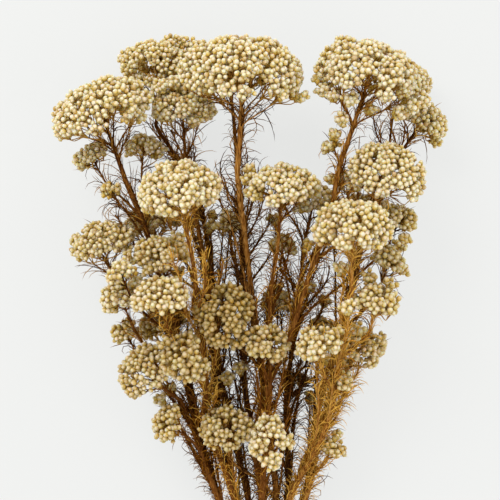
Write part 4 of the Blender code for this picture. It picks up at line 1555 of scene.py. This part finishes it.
@dataclass(kw_only=True)
class BudHead(BudCluster):
    """A head of single buds in place of one solid dome: many umbels at uneven levels, a few hanging lower.

    Areas, spacings, reaches and levels are in millimetres and angles in degrees. The fields that start
    with top and low say where along the bunch the tint of age and painted shade lightens and the buds
    stand looser. The shoulder is the power of the dome's outline, where 2 is round, and the rest are
    shares and counts.
    """

    head: Head
    first_seed: int = 900
    cap_margin: float = 6.0
    umbel_area: float = 85.0
    umbel_share: float = 0.4
    umbel_reach: float = 9.0
    limb_spacing: float = 3.4
    steepest: float = 97.0
    doming: float = 1.4
    deepest_level: float = 2.0
    outset: float = 1.2
    valley: float = 0.06
    rim_loss: float = 0.2
    fringe: float = 1.35
    shoulder: float = 2.25
    top_from: float = 330.0
    top_full: float = 370.0
    # Painted light: how far heads near the tips are lightened, taking back the tint of age and painted shade.
    top_lightening: float = 0.55
    low_from: float = 340.0
    low_full: float = 280.0
    low_loose: float = 0.07
    nearer: float = 0.0016
    plain_z: float = 64.0
    waves: tuple = ((2, 0.03), (3, 0.045), (5, 0.05))
    dome_area: float = 1.5
    stray: float = 0.25
    level_share: float = 0.14
    even_above: float = 0.3
    limb_cap: float = 78.0
    limb_counts: tuple = (3, 10)
    edge_fade: float = 0.2
    radius_per_hanging: float = 8.0
    hanging_radii: tuple = (3.0, 5.0)
    hanging_spread: float = 0.9
    hanging_out: tuple = (0.72, 0.9)
    hanging_below: tuple = (0.05, 0.2)
    hanging_clear: float = 1.5

    def __post_init__(self) -> None:
        """Give the head its own form, and lay out its umbels and the limbs that carry them."""
        head = self.head
        self.form = HEAD_FORMS.get(self.node, HeadForm())
        low = np.clip((self.low_from - head.y) / (self.low_from - self.low_full), 0, 1)
        high = np.clip((head.y - self.top_from) / (self.top_full - self.top_from), 0, 1)
        self.size = self.size * (1 + self.nearer * (head.z - self.plain_z))
        self.apart = self.apart + self.form.loose + self.low_loose * low
        # Partly age and partly painted shade, lightened for heads near the tips.
        self.age = self.form.age - self.top_lightening * high
        random = np.random.default_rng(self.first_seed + self.seed)
        self.phases = random.uniform(0, math.tau, len(self.waves))
        count = max(4, round(math.pi * head.radius ** 2 * self.dome_area / self.umbel_area))
        self.wide = math.sqrt(2 * (1 - math.cos(math.radians(self.steepest))) / count)
        umbels = cap_directions(count, self.steepest - self.cap_margin, head.x + head.y)
        umbels += random.normal(0, self.stray * self.wide, umbels.shape)
        self.umbels = umbels / np.linalg.norm(umbels, axis=1)[:, None]
        self.levels = random.uniform(0, min(self.deepest_level, head.radius * self.level_share), count)
        self.shown = (self.umbels[:, 2] > self.even_above) | (random.random(count) > self.rim_loss)
        self.drop = np.zeros(3)
        if self.node in RESTING:
            self.drop[2] = -head.skin(ball(4)[0])[:, 2].min() - REST_DEPTH
        away = self.surface(self.umbels) - head.fork
        short = np.minimum(self.umbel_share, self.umbel_reach / np.linalg.norm(away, axis=1)[:, None])
        self.sockets = head.fork + away * (1 - short) + self.drop
        limbs = int(np.clip(round(head.radius / self.limb_spacing), *self.limb_counts))
        self.limbs = cap_directions(limbs, self.limb_cap, head.x - head.y)
        self.limb_of = nearest_angle(self.umbels, self.limbs)[1]
        self.hanging = self.hung_umbels(random)

    def surface(self, ways: np.ndarray) -> np.ndarray:
        """The skin of the dome with fuller shoulders, the head's own form and a rim that waves in and out.

        Args:
            ways: Unit directions in the head's own frame, one a row.

        Returns:
            The skin's points in the bunch's frame, one a row.
        """
        head = self.head
        turn = np.arctan2(ways[:, 1], ways[:, 0])
        wave = sum(height * np.sin(count * turn + phase)
                   for (count, height), phase in zip(self.waves, self.phases))
        local = (head.skin(ways, self.valley) - head.base) @ head.sides.T
        flat = np.hypot(ways[:, 0], ways[:, 1]) ** self.shoulder + np.maximum(ways[:, 2], 0) ** self.shoulder
        local *= np.where(ways[:, 2] > 0, flat ** (-1 / self.shoulder), 1.0)[:, None]
        local[:, :2] *= (1 + wave * np.hypot(ways[:, 0], ways[:, 1]))[:, None]
        local[:, 1] *= self.form.tall
        local[:, 2] *= 1 - self.form.flat
        local[:, 0] *= 1 - self.form.taper * local[:, 1] / head.radius
        return head.base + local @ head.sides

    def hung_umbels(self, random: np.random.Generator) -> list[Umbel]:
        """The umbels that merge with the next head, and a few that hang low at the rim.

        Args:
            random: The head's own generator.

        Returns:
            The umbels.
        """
        head = self.head
        made = [Umbel.around(np.array(middle), np.array(middle) - head.fork, radius)
                for *middle, radius in MERGING.get(self.node, [])]
        for _ in range(round(head.radius / self.radius_per_hanging)):
            turn = random.choice([0, math.pi]) + random.uniform(-self.hanging_spread, self.hanging_spread)
            out = head.sides[0] * math.cos(turn) + head.sides[1] * math.sin(turn)
            middle = head.base + self.drop + out * head.radius * random.uniform(*self.hanging_out)
            middle = middle - head.axis * random.uniform(*self.hanging_below) * head.radius
            aim = out * 0.9 + head.axis * 0.5 + random.normal(0, 0.2, 3)
            radius = random.uniform(*self.hanging_radii)
            if middle[2] - radius > self.hanging_clear:
                made.append(Umbel.around(middle, aim, radius))
        return made

    def patches(self) -> list[Patch]:
        """The dome, lumpy with its umbels, and the umbels that hang beside it.

        Returns:
            The patches, dome first.
        """
        ways, faces = ball(5)
        angle, which = nearest_angle(ways, self.umbels)
        skin = self.surface(ways)
        outward = skin - self.head.fork
        outward /= np.linalg.norm(outward, axis=1)[:, None]
        edge = np.clip(angle / self.wide, 0, 1.3)
        sunk = self.levels[which] + self.doming * edge ** 2 - self.outset
        points = skin - outward * sunk[:, None] + self.drop
        kept = (ways[:, 2] > math.cos(math.radians(self.steepest + 8))) & self.shown[which]
        kept &= (angle < self.fringe * self.wide) | (ways[:, 2] > 0.25)
        faces = faces[kept[faces].all(axis=1)]
        used = np.unique(faces)
        number = np.zeros(len(ways), int)
        number[used] = np.arange(len(used))
        fullness = 1 - self.edge_fade * np.clip(edge, 0, 1) ** 5
        dome = Patch(points[used], number[faces], fullness[used], self.sockets[which[faces[:, 0]]])
        return [dome] + [umbel.patch() for umbel in self.hanging]


@dataclass(kw_only=True)
class SideUmbels(BudCluster):
    """The small umbels at the ends of a stem's twigs, which have no solid of their own."""

    umbels: list
    apart: float = 0.98
    # Lightens the tint of age and painted shade that their low place gives them.
    age: float = -0.3

    def patches(self) -> list[Patch]:
        """The umbels' skins."""
        return [umbel.patch() for umbel in self.umbels]


@dataclass(frozen=True)
class Leafage:
    """How a stem's needles and twigs grow, and how pale its needles and its bark are.

    The paleness is partly each stem's own tone and partly painted light, paler on the strongly lit right-hand
    stems.
    """

    spread: float = 22.0
    twigs: int = 6
    reach: float = 12.0
    density: float = 0.85
    pale: float = 0.0
    leaf: StemTone = StemTone.GOLDEN
    bark: float = 0.0
    long: float = 0.95


# Where the photo shows shoots with needles and no head: where each one ends
SHOOTS = {
    "back_mid": [(1, 344, 30), (5, 334, 26), (-2, 357, 40), (8, 322, 30), (4, 240, 20), (-24, 234, 22)],
    "back_right": [(38, 302, 40), (34, 296, 34), (10, 345, 34), (22, 236, 30), (21, 248, 28), (35, 284, 40),
                   (9, 250, 26), (28, 256, 32)],
    "left_mid": [(-37, 379, 36), (-41, 372, 34), (-38, 366, 33), (-26, 246, 36), (-33, 262, 38)],
    "mid_front": [(-4, 238, 50), (12, 240, 48)],
    "right_back": [(72, 384, 40), (66, 378, 44), (80, 380, 42), (62, 386, 46)],
    "right_outer": [(50, 240, 50), (43, 226, 46), (54, 248, 48)],
    "right_tall": [(46, 362, 56), (44, 350, 58)],
    "centre_tall": [(-23, 356, 52), (-20, 348, 50)],
}

# The pale and bark values: partly each stem's own tone and partly painted light, which makes the strongly lit
# right-hand stems paler.
LEAFAGES = {
    "centre_tall": Leafage(46.0, 5, density=0.42, pale=-0.3, leaf=StemTone.DARK, bark=-0.3, long=1.25),
    "mid_front": Leafage(26.0, density=0.65, pale=-0.2, bark=-0.7),
    "right_tall": Leafage(32.0, density=0.55, pale=-0.15, bark=-0.6),
    "left_front": Leafage(20.0, pale=0.25, bark=-0.3),
    "left_outer": Leafage(18.0, reach=10.0, density=0.6, pale=-0.3, bark=-0.9),
    "right_front": Leafage(20.0, pale=0.4, bark=0.1),
    "right_outer": Leafage(19.0, 7, 14.0, 0.8, pale=0.5, bark=0.1),
}
DARK_LEAFAGE = Leafage(34.0, 12, 15.0, 0.44, 0.05, StemTone.DARK, 0.1, 1.2)

# Between the front heads and high up, where twigs end without buds
MIDDLE_X = -6.0
INSIDE = 28.0
FRONT_Z = 40.0
BARE_FROM_Y = 325.0

# The sides of the bunch below its heads: a height along it, and how far it spreads to -X and +X there
FLANKS = np.array([(177, -37, 40), (194, -46, 42), (210, -61, 45), (227, -68, 49), (238, -80, 57),
                   (249, -80, 71), (266, -82, 69), (283, -91, 78), (300, -92, 80), (340, -100, 85)], float)


def thinning(points: np.ndarray, thick: float, thin: float, leafy: float, tier: Tier) -> Strand:
    """A strand that thins evenly along its points.

    Args:
        points: Its points, one a row.
        thick: Its radius at the foot.
        thin: Its radius at the end.
        leafy: How leafy it is.
        tier: How stout it is.

    Returns:
        The strand.
    """
    count = len(points)
    return Strand(points, np.linspace(thick, thin, count), np.full(count, leafy), np.ones(count), tier)


@dataclass(kw_only=True)
class LeafyStem:
    """A stem with its branches, twigs, rays and needle leaves, in place of one solid."""

    ATTRIBUTES = ("girth", "leafy", "ring", "tier", "spread", "tone")

    stem: Stem
    heads: list
    seed: int
    first_seed: int = 400
    cut_rings: tuple = (0.05, 0.3, 0.55, 0.8, 0.96)
    twig_fall: float = 14.0
    twig_slope: float = 1.3
    uneven: float = 0.06
    twig_leaf: float = 0.8
    limb_leaf: float = 0.6
    leafy_from: float = 140.0
    leafy_full: float = 168.0
    twig_from: float = 152.0
    twig_tries: int = 8
    twig_margin: float = 5.0
    trunk_share: float = 0.045
    # Where a twig ends and how long it runs, in steps along the trunk, and how far it leaves the trunk
    twig_end: int = 22
    twig_steps: tuple = (18, 46)
    usual_steps: int = 32
    twig_reach: tuple = (0.6, 1.25)
    wander: float = 2.5
    lowest: float = 3.0
    umbel_radii: tuple = (3.5, 6.0)
    # The radius of each kind of strand at its foot and at its end
    twig_girth: tuple = (0.8, 0.42)
    shoot_girth: tuple = (0.8, 0.35)
    limb_girth: tuple = (0.56, 0.38)
    ray_girth: tuple = (0.42, 0.28)
    axis_thinning: float = 0.45
    # Where a head's limbs leave its axis, as shares of the axis, and where along a limb its rays start
    limb_from: float = 0.02
    limb_rise: float = 0.62
    limb_stray: float = 0.07
    node_share: float = 0.6

    def __post_init__(self) -> None:
        """Choose how the stem's leaves grow, and lay its twigs and shoots."""
        usual = Leafage() if self.stem.tone is StemTone.GOLDEN else DARK_LEAFAGE
        self.leafage = LEAFAGES.get(self.stem.name, usual)
        self.random = np.random.default_rng(self.first_seed + self.seed)
        self.twigs = [self.twig(k) for k in range(self.leafage.twigs)]
        self.shoots = [self.shoot(np.array(end, float)) for end in SHOOTS.get(self.stem.name, [])]

    def twig(self, number: int) -> Strand:
        """A thin leafy twig that leaves the trunk and runs up beside it, within the bunch's flanks.

        Args:
            number: Its place among the stem's twigs, from the lowest.

        Returns:
            The twig.
        """
        for _ in range(self.twig_tries):
            line = self.twig_line(number)
            left, right = (np.interp(line[-1, 1], FLANKS[:, 0], FLANKS[:, k]) for k in (1, 2))
            if left + self.twig_margin < line[-1, 0] < right - self.twig_margin:
                break
        return thinning(line, *self.twig_girth, self.leafage.density * self.twig_leaf, Tier.LIMB)

    def twig_line(self, number: int) -> np.ndarray:
        """One draw of a twig's line.

        Args:
            number: The twig's place among the stem's twigs.

        Returns:
            The line's points, one a row.
        """
        trunk = self.stem.paths[0].points
        first = int(np.argmax(trunk[:, 1] > self.twig_from))
        last = len(trunk) - self.twig_end
        start = first + int((number + self.random.uniform(0.1, 0.9)) / self.leafage.twigs * (last - first))
        count = int(self.random.uniform(*self.twig_steps))
        rows = np.linspace(start, min(start + count, len(trunk) - 3), max(5, count // 2))
        share = np.linspace(0, 1, len(rows))
        line = np.stack([np.interp(rows, np.arange(len(trunk)), trunk[:, k]) for k in range(3)], axis=1)
        ahead = tangents_of(trunk)[start]
        sides = square_to(ahead)
        turn = self.random.uniform(0, math.tau)
        aside = sides[0] * math.cos(turn) + sides[1] * math.sin(turn)
        other = np.cross(ahead, aside)
        reach = self.leafage.reach * self.random.uniform(*self.twig_reach) * count / self.usual_steps
        wander = (self.random.uniform(-self.wander, self.wander)
                  * np.sin(share * math.pi * self.random.uniform(0.8, 1.8)))
        line = line + np.outer(share ** 1.2 * reach, aside) + np.outer(wander * share, other)
        line[:, 2] = np.maximum(line[:, 2], self.lowest)
        return line

    def shoot(self, end: np.ndarray) -> Strand:
        """A leafy shoot from the trunk to a given end.

        Args:
            end: Where it ends, in bunch millimetres.

        Returns:
            The shoot.
        """
        trunk = self.stem.paths[0].points
        aside = math.hypot(*(end - trunk[np.argmin(np.abs(trunk[:, 1] - end[1]))])[[0, 2]])
        leave_y = end[1] - self.twig_fall - self.twig_slope * aside
        at = min(int(np.argmin(np.abs(trunk[:, 1] - leave_y))), len(trunk) - 4)
        ahead = tangents_of(trunk)[at]
        reach = np.linalg.norm(end - trunk[at])
        line = bent(trunk[at], trunk[at] + ahead * reach * 0.45, end - np.array([0, 0.4, 0]) * reach, end, 12)
        return thinning(line, *self.shoot_girth, self.leafage.density, Tier.LIMB)

    def umbels(self) -> list[Umbel]:
        """The umbels that end three of every five twigs.

        Returns:
            The umbels.
        """
        made = []
        for number, twig in enumerate(self.twigs):
            aim = tangents_of(twig.points)[-1]
            radius = self.random.uniform(*self.umbel_radii)
            x, y, z = twig.points[-1]
            bare = abs(x - MIDDLE_X) < INSIDE and z > FRONT_Z or y > BARE_FROM_Y
            if number % 5 not in (2, 4) and not bare:
                made.append(Umbel(twig.points[-1], aim, UMBEL_STALK + radius, radius))
        return made

    def wood(self) -> list[Strand]:
        """The trunk, with its flat cut end, and the branches.

        Returns:
            The strands, with the twigs and shoots after them.
        """
        made = []
        for number, path in enumerate(self.stem.paths):
            rough = 1 + self.uneven * self.random.standard_normal(len(path.points))
            girth = path.radii * np.convolve(np.pad(rough, 1, mode="edge"), (0.25, 0.5, 0.25), "valid")
            leafy = np.full(len(path.points), self.leafage.density)
            points, ring = path.points, np.ones(len(path.points))
            if number == 0:
                girth = np.maximum(girth, self.trunk_share * self.heads[0].head.radius)
                grown = (points[:, 1] - self.leafy_from) / (self.leafy_full - self.leafy_from)
                leafy = np.clip(grown, 0, 1) * self.leafage.density
                cut = np.array(self.cut_rings)
                disc = points[0] - tangents_of(points)[0] * np.linspace(0.1, 0.02, len(cut))[:, None]
                points = np.concatenate([disc, points])
                girth = np.concatenate([cut * girth[0], girth])
                leafy = np.concatenate([np.zeros(len(cut)), leafy])
                ring = np.concatenate([cut, ring])
            made.append(Strand(points, girth, leafy, ring, Tier.TRUNK))
        return made + self.twigs + self.shoots

    def axes(self) -> list[Strand]:
        """The stem or branch under each head, which runs on into the dome and thins as its limbs leave it.

        Returns:
            A strand for each head.
        """
        made = []
        for number, (head, path) in enumerate(zip(self.heads, self.stem.paths)):
            end = head.head.base + head.drop + head.head.axis * head.head.rise * 0.3
            points = path.points[-1] + (end - path.points[-1]) * np.linspace(0, 1, 10)[:, None]
            thick = path.radii[-1] if number else max(path.radii[-1], self.trunk_share * head.head.radius)
            made.append(thinning(points, thick, self.axis_thinning * thick,
                                 self.leafage.density * self.twig_leaf, Tier.TRUNK))
        return made

    def fans(self) -> list[Strand]:
        """Under each head the limbs that leave the axis in turn, and the rays that they fork into.

        Returns:
            The strands.
        """
        made = []
        for head, path, axis in zip(self.heads, self.stem.paths, self.axes()):
            line = np.concatenate([path.points[-7:], axis.points[1:]])
            ways = tangents_of(line)
            run = np.concatenate([[0], np.cumsum(np.linalg.norm(np.diff(line, axis=0), axis=1))])
            fork, long = run[6], run[-1] - run[6]
            nodes = []
            for number, limb in enumerate(head.limbs):
                carried = head.sockets[head.shown & (head.limb_of == number)]
                if not len(carried):
                    continue
                high = self.limb_from + self.limb_rise * max(limb[2], 0)
                high = (high + self.random.normal(0, self.limb_stray)) * long
                root, ahead = (np.array([np.interp(fork + high, run, values[:, k]) for k in range(3)])
                               for values in (line, ways))
                across = carried.mean(axis=0) - root
                node = root + across * self.node_share
                reach = np.linalg.norm(across)
                bow = bent(root, root + ahead * 0.2 * reach, node - across * 0.22, node, 9)
                made.append(thinning(bow, *self.limb_girth, self.leafage.density * self.limb_leaf,
                                     Tier.LIMB))
                nodes.append((node, across / reach))
                made += [self.ray(node, nodes[-1][1], socket, socket - head.head.fork) for socket in carried]
            for umbel in head.hanging:
                node, way = min(nodes, key=lambda item: np.linalg.norm(item[0] - umbel.fork))
                made.append(self.ray(node, way, umbel.fork, umbel.aim))
        return made

    def ray(self, root: np.ndarray, ahead: np.ndarray, socket: np.ndarray, way: np.ndarray) -> Strand:
        """A thin stalk from a limb's end to the fork of an umbel.

        Args:
            root: Where it leaves the limb.
            ahead: The limb's direction there.
            socket: The umbel's fork.
            way: The direction in which it arrives, of any length.

        Returns:
            The stalk.
        """
        reach = np.linalg.norm(socket - root)
        way = way / np.linalg.norm(way)
        points = bent(root, root + ahead * reach * 0.35, socket - way * reach * 0.3, socket, 6)
        return thinning(points, *self.ray_girth, 0.0, Tier.RAY)

    def build(self, bunch: Bunch) -> None:
        """Grow the bark, rays and needles.

        Args:
            bunch: The bunch that takes it in.
        """
        strands = self.wood() + self.axes() + self.fans()
        mesh = bpy.data.meshes.new("strands")
        edges, start = [], 0
        for strand in strands:
            count = len(strand.points)
            edges += [(start + k, start + k + 1) for k in range(count - 1)]
            start += count
        mesh.from_pydata(bunch.place(np.concatenate([s.points for s in strands])).tolist(), edges, [])
        spread = math.radians(self.leafage.spread)
        # The last value shifts the bark's tone: partly its own tone and partly painted light on strongly lit
        # stems.
        rows = [np.broadcast_arrays(s.girth * MM, s.leafy, s.ring, float(s.tier.value), spread,
                                    self.random.random() + self.leafage.bark) for s in strands]
        for name, values in zip(self.ATTRIBUTES, zip(*rows)):
            set_attribute(mesh, name, np.concatenate(values))
        names = {StemTone.GOLDEN: "golden", StemTone.DARK: "dark"}
        grown = bunch.stem_tree.grow(mesh, {
            "Seed": self.seed, "Pale": self.leafage.pale, "Long": self.leafage.long,
            "Forms": bunch.patterns.needles[self.leafage.leaf],
            "Bark": bunch.materials[names[self.stem.tone]], "Stalk": bunch.materials["stalks"],
            "Leaf": bunch.materials[names[self.leafage.leaf] + "_leaf"]})
        bpy.data.meshes.remove(mesh)
        name = self.stem.name
        bunch.add_piece(name + "_leafy_stem", grown, name + "_stem")


@dataclass(frozen=True)
class RubberBand:
    """One rubber band wound three times round the stems, its last turn crossing over the others."""

    # The solid band has sixteen sides, and its flats clear the stems by 0.3 mm
    inner: float = (OUTER_RING + STEM_RADIUS + 0.3) / math.cos(math.pi / 16)
    crossing: float = 0.9
    turns: int = 3
    pitch: float = 2.3
    half_wide: float = 0.95
    half_thick: float = 0.42
    steps: int = 192
    sides: int = 10

    def build(self, bunch: Bunch) -> None:
        """Sweep the band's rounded section along its winding.

        Args:
            bunch: The bunch that takes it in.
        """
        turn = np.arange(self.steps) / self.steps
        wound = np.clip(turn / self.crossing, 0, 1)
        back = np.clip((turn - self.crossing) / (1 - self.crossing), 0, 1)
        along = self.pitch * (self.turns - 1) * (wound - 0.5 - (3 - 2 * back) * back ** 2)
        lift = self.inner + self.half_thick + 2 * self.half_thick * np.sin(back * math.pi)
        angle = turn * self.turns * math.tau + math.pi / 2
        out = np.stack([np.cos(angle), np.zeros(self.steps), np.sin(angle)], axis=1)
        middle = np.array([0, TIE_Y, TIE_Z]) + out * lift[:, None] + np.outer(along, (0, 1, 0))
        side = np.arange(self.sides) * math.tau / self.sides
        points = (middle[:, None] + np.cos(side)[None, :, None] * self.half_thick * out[:, None]
                  + np.sin(side)[None, :, None] * self.half_wide * np.array([0.0, 1.0, 0.0]))
        corner = np.arange(self.steps * self.sides).reshape(self.steps, self.sides)
        beside, ahead = np.roll(corner, -1, axis=1), np.roll(corner, -1, axis=0)
        faces = np.stack([corner, beside, np.roll(beside, -1, axis=0), ahead], axis=2).reshape(-1, 4).tolist()
        mesh = bpy.data.meshes.new("band")
        mesh.from_pydata(bunch.place(points.reshape(-1, 3)).tolist(), [], faces)
        mesh.shade_smooth()
        mesh.materials.append(bunch.materials["latex"])
        bunch.add_piece("rubber_band_turns", mesh, "bunch_band")


@dataclass(frozen=True)
class Studio:
    """A pale floor under soft light, seen from straight above."""

    eye: tuple = (-6.6, 310.65, 805.0)
    seen: float = 275.0
    distance: float = 750.0
    sky: tuple = (1.0, 0.975, 0.92, 1)
    sky_strength: float = 0.86
    # Each lamp's name, place, size and power in metres and watts, and colour
    lamps: tuple = (("key", (-0.45, 0.65, 0.95), 0.6, 5.9, (1.0, 0.96, 0.91)),
                    ("fill", (0.7, -0.3, 0.8), 0.9, 2.4, (1.0, 0.97, 0.93)))
    lit: tuple = (0, 0.1, 0.05)

    def build(self, bunch: Bunch) -> None:
        """Add the floor, the lights and the camera.

        Args:
            bunch: The bunch that they are set round.
        """
        mesh = bpy.data.meshes.new("floor")
        mesh.from_pydata([(-3, -3, 0), (3, -3, 0), (3, 3, 0), (-3, 3, 0)], [], [(0, 1, 2, 3)])
        mesh.materials.append(bunch.finishes.floor.material())
        floor = linked("floor", mesh)
        world = bpy.data.worlds.new("studio")
        world.use_nodes = True
        NodeBoard(world.node_tree).feed(world.node_tree.nodes["Background"], {
            "Color": self.sky, "Strength": self.sky_strength})
        bpy.context.scene.world = world
        for lamp in self.lamps:
            self.light(*lamp)
        view = bpy.data.cameras.new("camera")
        view.angle = 2 * math.atan(self.seen / 2 / self.distance)
        camera = linked("camera", view)
        camera.location = bunch.place(np.array(self.eye))
        bpy.context.scene.camera = camera
        bpy.context.scene.view_settings.view_transform = "Standard"

    def light(self, name: str, place: tuple, size: float, power: float, colour: tuple) -> None:
        """Add a soft lamp that faces the bunch.

        Args:
            name: The lamp's name.
            place: Where it hangs, in metres.
            size: Its width in metres.
            power: Its power in watts.
            colour: Its colour.
        """
        light = bpy.data.lights.new(name, "AREA")
        light.shape = "DISK"
        light.size, light.energy, light.color = size, power, colour
        item = linked(name, light)
        item.location = place
        item.rotation_euler = (Vector(self.lit) - Vector(place)).to_track_quat("-Z", "Y").to_euler()


def main() -> None:
    """Dress the bunch and light it."""
    logging.basicConfig(level=logging.INFO, format="%(name)s %(message)s")
    bunch = Bunch()
    bunch.dress()
    Studio().build(bunch)


if __name__ == "__main__":
    main()
